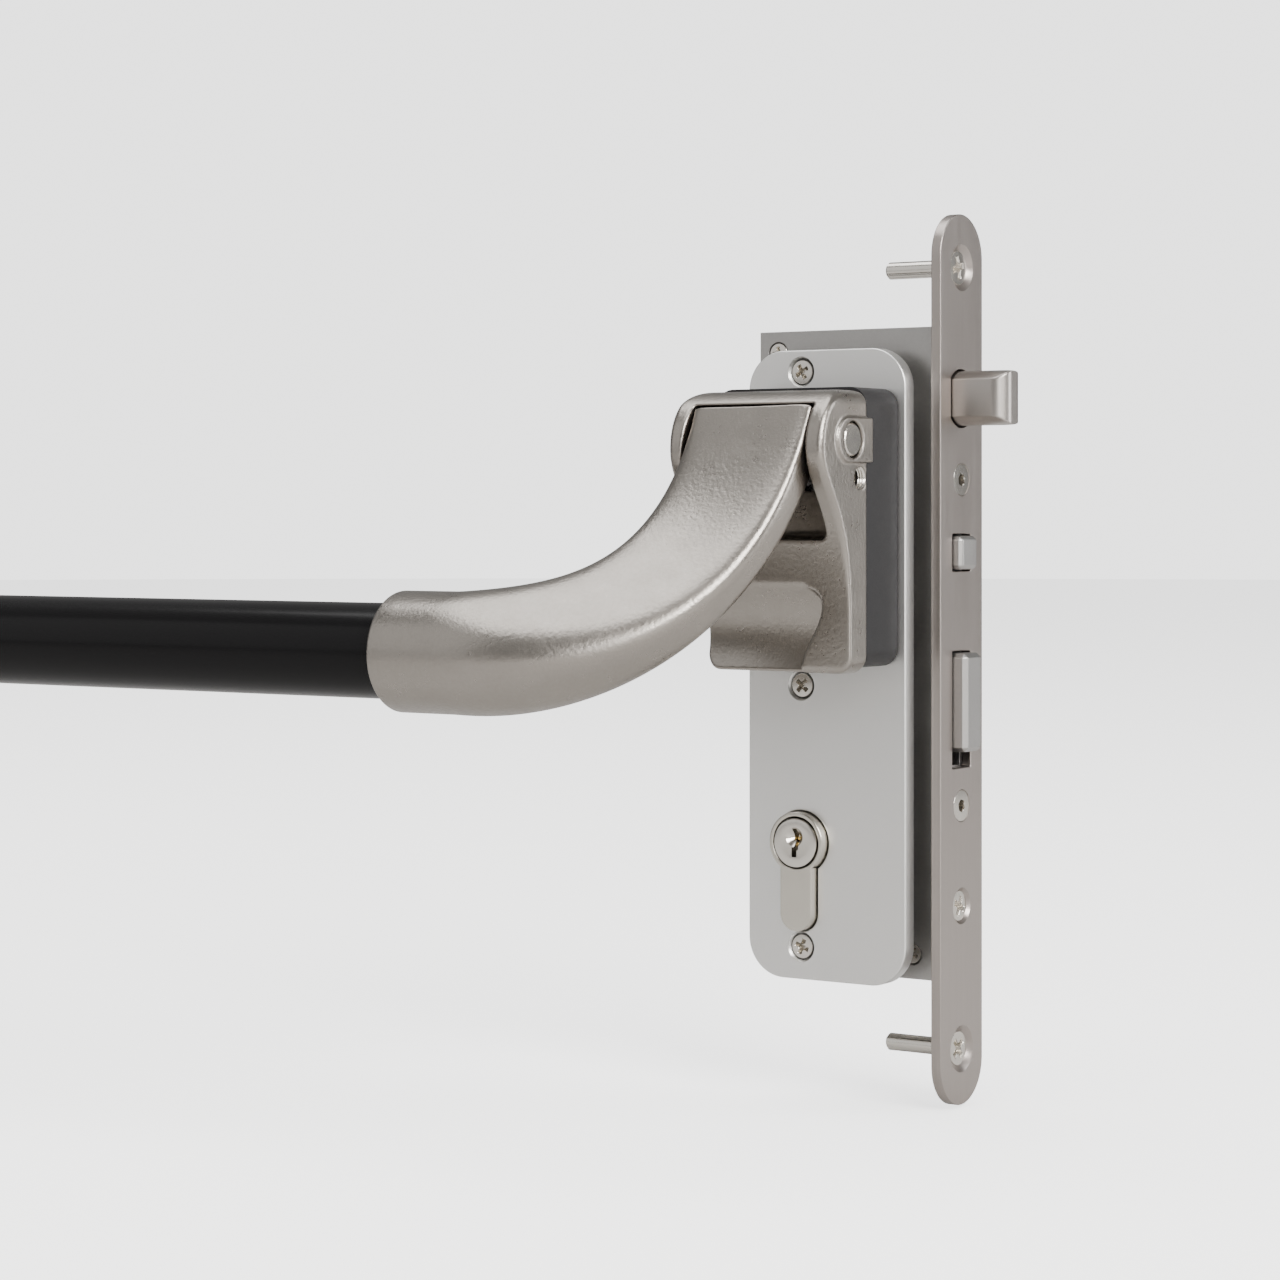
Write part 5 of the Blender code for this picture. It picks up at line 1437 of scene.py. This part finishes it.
@dataclass
class Screw:
    """A countersunk screw in the place of a node."""

    node: str
    axis: tuple[float, float, float]
    kind: ScrewKind = CROSS
    turn: float = 0.4
    shrink: float = 1.0
    sunk: float = 0.0
    dome: float = 0.12 * MM
    chamfer: float = 0.6 * MM

    def recess(self, u: Grid, v: Grid, radius: float) -> Grid:
        """Give the recess's depth: the distance inside the cross or hexagon, down to a floor.

        Args:
            u: The points' places across the head.
            v: Their places the other way across.
            radius: The head's radius.

        Returns:
            The depth at each point.
        """
        if self.kind.drive is Drive.CROSS:
            reach, half = self.kind.recess * radius, self.kind.slot * radius
            first = np.maximum(np.abs(u) - reach, np.abs(v) - half)
            second = np.maximum(np.abs(v) - reach, np.abs(u) - half)
            core = np.hypot(u, v) - 1.75 * half
            inside = -np.minimum(np.minimum(first, second), core)
            return np.clip(inside * 3.5, 0, self.kind.depth * radius)
        angles = np.arange(3) * math.pi / 3
        reach = np.max([np.abs(u * math.cos(a) + v * math.sin(a)) for a in angles], axis=0)
        return np.clip((self.kind.recess * radius - reach) * 12, 0, self.kind.depth * radius)

    def build(self) -> None:
        """Make the screw: a slightly domed head with its recess, then cone, shank and end."""
        top, radius, length = head_of(self.node, self.axis)
        top, radius, length = top - np.array(self.axis) * self.sunk, radius * self.shrink, length - self.sunk
        first, second, along = axis_frame(Vector(self.axis))
        share = np.linspace(0, 1, self.kind.rings) ** 0.9
        angle = np.linspace(0, 2 * math.pi, self.kind.around, endpoint=False) + self.turn
        reach = (radius - 0.15 * MM) * share
        u, v = np.outer(reach, np.cos(angle)), np.outer(reach, np.sin(angle))
        turned_u = u * math.cos(self.turn) + v * math.sin(self.turn)
        turned_v = v * math.cos(self.turn) - u * math.sin(self.turn)
        height = -self.dome * (u * u + v * v) / radius**2 - self.recess(turned_u, turned_v, radius)
        shank, cone = SHANK_SHARE * radius, CONE_SHARE * radius
        lower = [(radius, -0.3 * MM), (radius - 0.05 * MM, -0.45 * MM), (shank, -cone)]
        lower += [(shank, -length + self.chamfer), (shank - self.chamfer, -length), (0, -length)]
        lower = np.array(lower)
        ring_u = np.concatenate((u, np.outer(lower[:, 0], np.cos(angle))))
        ring_v = np.concatenate((v, np.outer(lower[:, 0], np.sin(angle))))
        drop = np.concatenate((height, np.repeat(lower[:, 1:], self.kind.around, axis=1)))
        grid = top + ring_u[..., None] * first + ring_v[..., None] * second + drop[..., None] * along
        obj = skin(f"fine_{self.node}", grid, caps=False)
        smooth(obj, 32)
        dress(obj, NICKEL, self.node, "mounting")


@dataclass
class Screws:
    """Every countersunk screw."""

    sunk: float = 0.45 * MM
    edge_sunk: float = 0.1 * MM
    shrink: float = 0.8

    def build(self) -> None:
        """Make each screw, in rows that share an axis, the next turned a little further."""
        head, shallow = {"shrink": self.shrink, "sunk": self.sunk}, {"sunk": self.edge_sunk}
        rows = (
            ("backplate_screw_", ("top", "middle", "bottom"), FRONT, 0.5, 0.35, head),
            ("hinge_backplate_screw_", ("top", "bottom"), FRONT, 0.2, 0.5, head),
            ("bracket_screw_", ("lower", "right", "left"), BACK, 0.3, 0.4, {}),
            ("hinge_bracket_screw_", ("lower", "left"), BACK, 0.6, 0.4, {}),
            ("", ("forend_screw_top", "forend_screw_bottom", "cylinder_screw"), EDGE, 0.25, 0.45, shallow),
            ("case_screw_", ("top", "bottom"), EDGE, 0.2, 0.0, {"kind": SOCKET}),
            ("case_cover_screw_", ("top", "middle", "bottom"), FRONT, 0.1, 0.5, {}),
        )
        for prefix, names, axis, turn, step, options in rows:
            for i, name in enumerate(names):
                Screw(prefix + name, axis, turn=turn + step * i, **options).build()


def seat(
    node: str, axis: tuple[float, float, float], thickness: float, gap: float = 0.25 * MM, cup: float = 0.0
) -> bpy.types.Object:
    """Make a screw's countersunk hole, as a tool: a cylinder or a wider cup, a cone and a hole.

    Args:
        node: The screw's node.
        axis: The direction that its head faces.
        thickness: The plate's thickness.
        gap: The play round the head.
        cup: How much wider the mouth is than the head.

    Returns:
        The tool.
    """
    top, radius, _ = head_of(node, axis)
    hole, clear = SHANK_SHARE * radius + gap, 3 * MM
    profile = [(0, clear), (radius + gap + cup + clear, clear), (radius + gap + cup, 0.9 * MM)]
    if cup == 0:
        profile = [(0, clear), (radius + gap, clear)]
    profile += [(radius + gap * 0.4, -0.35 * MM), (hole, -CONE_SHARE * radius - 0.3 * MM)]
    profile += [(hole, -thickness - clear), (0, -thickness - clear)]
    return turned("seat", profile, top, Vector(axis), 64)


@dataclass
class PinScrew:
    """The set screw that locks a pivot pin, deep in its threaded hole."""

    side: Side
    depth: float = 1.9 * MM
    pitch: float = 0.75 * MM
    crest: float = 2.5 * MM
    root: float = 2.95 * MM
    proud: float = 0.4 * MM
    skin: float = 0.06 * MM
    socket: float = 1.45 * MM
    socket_depth: float = 3.2 * MM

    def build(self) -> None:
        """Make the screw with its hexagon socket, and the thread's turns above it."""
        node = f"{self.side.value}pin_set_screw"
        low, high = corners_of(node)
        facing = 1.0 if self.side is Side.LOCK else -1.0
        outer_x = high[0] if facing > 0 else low[0]
        place = (low + high) / 2
        place[0] = outer_x
        axis = Vector((facing, 0, 0))
        length = high[0] - low[0]
        radius = (high[2] - low[2]) / 2
        profile = [(0, -self.depth), (radius - 0.5 * MM, -self.depth), (radius, -self.depth - 0.5 * MM)]
        profile += [(radius, -length), (0, -length)]
        screw = turned(f"socket_{node}", profile, place, axis, 64)
        hexagon = rod("socket", self.socket, (-self.socket_depth, MM), place, axis, 6)
        combine(screw, [hexagon], "DIFFERENCE")
        dress(screw, NICKEL, node, "mounting")
        count, half = int((self.depth + self.proud) / self.pitch * 2), self.pitch / 2
        steps = [(self.crest if i % 2 else self.root, self.proud - i * half) for i in range(count + 1)]
        outside, deep = self.root + self.skin, steps[-1][1]
        profile = [(self.root, self.proud)] + steps + [(self.root, deep), (outside, deep)]
        profile += [(outside, self.proud), (self.root, self.proud)]
        thread = skin(f"thread_{node}", turned_grid(profile, place, axis, 64), caps=False)
        smooth(thread, 30)
        thread.data.materials.append(NICKEL.material(thread.name))
        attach(thread, "mounting")


@dataclass
class Plates:
    """The two backplates, with their screw seats and the cylinder's cut-out."""

    corner: float = 11 * MM
    edge: float = 0.45 * MM
    spindle_hole: float = 8 * MM
    clearance: float = 0.28 * MM
    play: float = 0.1 * MM
    cup: float = 0.4 * MM

    def build(self) -> None:
        """Make both plates, the lock side's with holes for the cylinder and the spindle."""
        shaft = middle_of("spindle")
        holes = [euro_loop(self.clearance), arc((shaft[0], shaft[2]), self.spindle_hole, 0, 354, 60)]
        self.side("", holes, ("top", "middle", "bottom"), ("lower", "right", "left"))
        self.side("hinge_", [], ("top", "bottom"), ("lower", "left"))

    def side(self, prefix: str, holes: list[Points], front: tuple[str, ...], back: tuple[str, ...]) -> None:
        """Make and dress one plate.

        Args:
            prefix: What its nodes' names start with.
            holes: The outlines of its holes.
            front: The ends of the plate screws' names.
            back: The ends of the bracket screws' names.
        """
        low, high = corners_of(f"{prefix}backplate")
        thickness = high[1] - low[1]
        outline = rounded_rectangle(low[0], high[0], low[2], high[2], self.corner)
        name = f"satin_{prefix}backplate"
        piece = plate(name, Plane.XZ, [outline, *holes], low[1], high[1], self.edge)
        tools = [seat(f"{prefix}backplate_screw_{n}", FRONT, thickness, self.play, self.cup) for n in front]
        tools += [seat(f"{prefix}bracket_screw_{n}", BACK, thickness) for n in back]
        combine(piece, tools, "DIFFERENCE")
        flatten(piece, 40)
        dress(piece, ANODISED, f"{prefix}backplate", "mounting")


def euro_loop(grow: float) -> Points:
    """Outline the cylinder's profile: a circle over a narrower stem with a round foot.

    Args:
        grow: How far the outline is moved out, for a cut-out.

    Returns:
        The outline.
    """
    low, high = corners_of("cylinder_body")
    middle_x, _, middle_z = middle_of("cylinder_plug_inner")
    radius, stem = (high[0] - low[0]) / 2 + grow, EURO_STEM + grow
    opening = math.degrees(math.acos(stem / radius))
    loop = arc((middle_x, middle_z), radius, -opening, 180 + opening, 72)
    return loop + arc((middle_x, low[2] + EURO_STEM), stem, 180, 360, 36)


@dataclass
class Cylinder:
    """The double euro-profile cylinder: its body and two plugs with keyways."""

    edge: float = 0.35 * MM
    key_width: float = 2.1 * MM
    key_depth: float = 6 * MM
    bevel: float = 0.7 * MM
    gap: float = 0.3 * MM
    stem_top: float = 13.9 * MM
    screw_bore: float = 2.6 * MM
    pin: float = 0.75 * MM
    pin_length: float = 3 * MM
    mouth: float = 2.9 * MM
    mouth_depth: float = 1.9 * MM

    def build(self) -> None:
        """Make and dress the body and the plugs."""
        low, high = corners_of("cylinder_body")
        plug_low, plug_high = corners_of("cylinder_plug_inner")
        self.middle = middle_of("cylinder_plug_inner")
        self.radius = (plug_high[0] - plug_low[0]) / 2
        ring = arc((self.middle[0], self.middle[2]), self.radius + self.gap, 0, 357, 96)
        body = plate("nickel_cylinder_body", Plane.XZ, [euro_loop(0), ring], low[1], high[1], self.edge)
        outer_low, _ = corners_of("cylinder_plug_outer")
        gap_low, gap_high = plug_high[1] + self.gap, outer_low[1] - self.gap
        reach = (gap_high - gap_low) * 2
        gap_foot = (low[0] - reach, gap_low, self.middle[2] - self.stem_top)
        tools = [block("gap", gap_foot, (high[0] + reach, gap_high, high[2] + MM))]
        _, y, z = middle_of("cylinder_screw")
        place = np.array((self.middle[0], y, z))
        tools.append(rod("bore", self.screw_bore, (-12 * MM, 12 * MM), place, X_AXIS, 32))
        combine(body, tools, "DIFFERENCE")
        flatten(body, 40)
        dress(body, SATIN_NICKEL, "cylinder_body", "mounting")
        self.plug("cylinder_plug_inner", "cylinder_inner", (0, -1, 0))
        self.plug("cylinder_plug_outer", "cylinder_outer", (0, 1, 0))

    def plug(self, node: str, body: str, axis: tuple[float, float, float]) -> None:
        """Make one plug: a bevelled rim, a slight dish, the keyway with its conical mouth, and pins.

        Args:
            node: The plug's node.
            body: The body that it rides on.
            axis: The direction that its face looks in.
        """
        low, high = corners_of(node)
        length = high[1] - low[1]
        face = (low + high) / 2 + np.array(axis) * length / 2
        r = self.radius
        profile = [(0, -0.12 * MM), (4.2 * MM, -0.06 * MM), (4.5 * MM, 0), (r - self.bevel, 0)]
        profile += [(r - 0.25 * self.bevel, -0.3 * self.bevel), (r, -self.bevel), (r, -length), (0, -length)]
        plug = turned(f"nickel_{node}", profile, face, Vector(axis), 96)
        step, half = axis[1], self.key_width / 2
        x, z = face[0], face[2]
        y_in, y_out = face[1] - step * self.key_depth, face[1] + step * MM
        y_low, y_high = min(y_in, y_out), max(y_in, y_out)
        slots = ((-1, 0.3, 0.6, 3.9), (-0.3, 1, -2.0, 1.6), (-1, 0.5, -4.0, -1.3))
        tools = []
        for left, right, bottom, top in slots:
            low = (x + left * half, y_low, z + bottom * MM)
            tools.append(block("slot", low, (x + right * half, y_high, z + top * MM)))
        mouth = np.array((x - 0.2 * MM, face[1], z + 1.6 * MM))
        cone = [(0, -self.mouth_depth), (0.8 * MM, -self.mouth_depth), (self.mouth, 0.1 * MM)]
        cone += [(self.mouth + 0.2 * MM, MM), (0, MM)]
        tools.append(turned("key_mouth", cone, mouth, Vector(axis), 64))
        combine(plug, tools, "DIFFERENCE")
        flatten(plug, 30)
        dress(plug, NICKEL, node, body)
        shape = [(0, 0), (0.6 * self.pin, -0.15 * MM), (self.pin, -0.5 * MM)]
        shape += [(self.pin, -self.pin_length), (0, -self.pin_length)]
        for i, height in enumerate((-0.6 * MM, 1.0 * MM)):
            tip = np.array((x + (0.1 - 0.35 * i) * MM, face[1] - step * (2.0 + 0.7 * i) * MM, z + height))
            pin = turned(f"{node}_pin_{i + 1}", shape, tip, Vector(axis), 32)
            pin.data.materials.append(BRASS.material(pin.name))
            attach(pin, body)


@dataclass
class Spacer:
    """The moulded blocks behind the brackets."""

    edge: float = 0.5 * MM

    def build(self) -> None:
        """Ease the lock-side and the hinge-side blocks."""
        for side in Side:
            eased(f"{side.value}spacer", "mounting", CHARCOAL, self.edge, 3)


@dataclass
class Bar:
    """The black tube between the arms."""

    wall: float = 2 * MM
    edge: float = 0.4 * MM
    around: int = 128

    def build(self) -> None:
        """Turn the tube's wall about the bar's axis, its ends' edges rounded."""
        low, high = corners_of("bar_tube")
        outer, half = (high[2] - low[2]) / 2, (high[0] - low[0]) / 2
        inner, e = outer - self.wall, self.edge
        profile = [(inner, -half), (outer - e, -half), (outer, -half + e)]
        profile += [(outer, s) for s in np.linspace(-half + 2 * e, half - 2 * e, 40).tolist()]
        profile += [(outer, half - e), (outer - e, half), (inner, half), (inner, -half)]
        grid = turned_grid(profile, middle_of("bar_tube"), X_AXIS, self.around)
        tube = skin("black_bar_tube", grid, caps=False)
        smooth(tube, 40)
        dress(tube, LACQUER, "bar_tube", "push_bar")


@dataclass
class Forend:
    """The lock's forend, with openings for the bolts and seats for the screws."""

    edge: float = 0.3 * MM
    opening: float = 0.5 * MM
    bolt_width: float = 11 * MM
    bolt_height: float = 15 * MM
    bolt_crown: float = 2.6 * MM
    bolt_end: float = 4.6 * MM
    bolt_short: float = 0.15 * MM
    tail_share: float = 0.42

    def build(self) -> None:
        """Make the forend and ease the lock's other flat pieces."""
        low, high = corners_of("forend")
        middle, half = (low[1] + high[1]) / 2, (high[1] - low[1]) / 2
        outline = arc((middle, high[2] - half), half, 0, 180, 64)
        outline += arc((middle, low[2] + half), half, 180, 360, 64)
        loops = [outline, self.bolt_loop(self.opening)]
        for node, rise in (("control_latch", 0.0), ("cross_latch", 4.1 * MM)):
            (_, left, bottom), (_, right, top) = corners_of(node)
            side, play = self.opening * 0.8, self.opening
            sides = (left - side, right + side, bottom - play - rise, top + play)
            loops.append(rounded_rectangle(*sides, 0.4 * MM, 6))
        plate_piece = plate("brushed_forend", Plane.YZ, loops, low[0], high[0], self.edge)
        cups = {"forend_screw_top": 1.5 * MM, "forend_screw_bottom": 1.5 * MM}
        cups |= {"case_screw_top": 0.0, "case_screw_bottom": 0.0, "cylinder_screw": 0.8 * MM}
        tools = [seat(node, EDGE, high[0] - low[0], cup=cup) for node, cup in cups.items()]
        combine(plate_piece, tools, "DIFFERENCE")
        flatten(plate_piece, 40)
        dress(plate_piece, BRUSHED, "forend", "mounting")
        for node in ("lock_case", "case_cover"):
            eased(node, "mounting", SHEET, 0.25 * MM)
        self.deadbolt()
        for node in ("cross_latch", "control_latch"):
            eased(node, node, SHEET)
        eased("latch_carrier", "latch_carrier", SHEET, 0.2 * MM)

    def deadbolt(self) -> None:
        """Make the deadbolt: its tail from the node, its head a section that rounds off at the end.

        Towards the end the section is cut narrower on a quarter circle, by much in plan and by a
        little in height.
        """
        low, high = corners_of("deadbolt")
        loop = np.array(self.bolt_loop(0.0))
        centre = loop.mean(axis=0)
        turn = np.linspace(0, math.pi / 2, 20)
        end = high[0] - self.bolt_short - self.bolt_end * (1 - np.sin(turn))
        x = np.concatenate(([low[0] + 0.05 * MM, 20 * MM], end))
        fall = np.concatenate(([0, 0], 1 - np.cos(turn)))
        half = (loop[:, 0].max() - loop[:, 0].min()) / 2 * (1 - fall * 0.75)[:, None]
        y = centre[0] + np.clip(loop[:, 0] - centre[0], -half, half)
        z = centre[1] + (loop[:, 1] - centre[1]) * (1 - fall * 0.03)[:, None]
        grid = np.stack((np.broadcast_to(x[:, None], y.shape), y, z), axis=-1)
        bolt = skin("brushed_deadbolt", grid)
        tail = put("tail", merged_copy("deadbolt"))
        cut_low, cut_high = low - 5 * MM, high + 5 * MM
        cut_low[0] = low[0] + (high[0] - low[0]) * self.tail_share
        combine(tail, [block("past", cut_low, cut_high)], "DIFFERENCE")
        combine(bolt, [tail], "UNION")
        flatten(bolt, 35)
        dress(bolt, BRUSHED_ALONG, "deadbolt", "deadbolt")

    def bolt_loop(self, grow: float) -> Points:
        """Outline the deadbolt's section: flat sides, with a round top and bottom.

        Args:
            grow: How far the outline is moved out, for its opening.

        Returns:
            The outline.
        """
        half_y, half_z = self.bolt_width / 2 + grow, self.bolt_height / 2 + grow
        middle_y = middle_of("forend")[1]
        middle_z = corners_of("deadbolt")[1][2] - self.bolt_height / 2
        radius = (half_y**2 + self.bolt_crown**2) / (2 * self.bolt_crown)
        spread = math.degrees(math.asin(half_y / radius))
        loop = arc((middle_y, middle_z + half_z - radius), radius, 90 - spread, 90 + spread, 28)
        return loop + arc((middle_y, middle_z - half_z + radius), radius, 270 - spread, 270 + spread, 28)


FINISH_OF = {
    SHEET: ("crank", "drive_slider", "follower", "latch_lever"),
    WIRE: ("return_spring", "deadbolt_spring", "cross_latch_spring", "control_latch_spring"),
    NYLON: ("bush_left", "bush_right", "hinge_bush_left", "hinge_bush_right"),
    BRASS: ("cylinder_cam",),
}


def main() -> None:
    """Build the studio and every piece, and report each."""
    logging.basicConfig(level=logging.INFO, format="%(message)s")
    finished = {node: finish for finish, nodes in FINISH_OF.items() for node in nodes}
    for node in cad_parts:
        refinish(node, finished.get(node, NICKEL))
    Studio().build()
    for side in Side:
        LeverArm(side).build()
        PinScrew(side).build()
    for assembly in (Bracket(), Plates(), Spacer(), Screws(), Forend(), Cylinder(), Bar()):
        assembly.build()


if __name__ == "__main__":
    main()
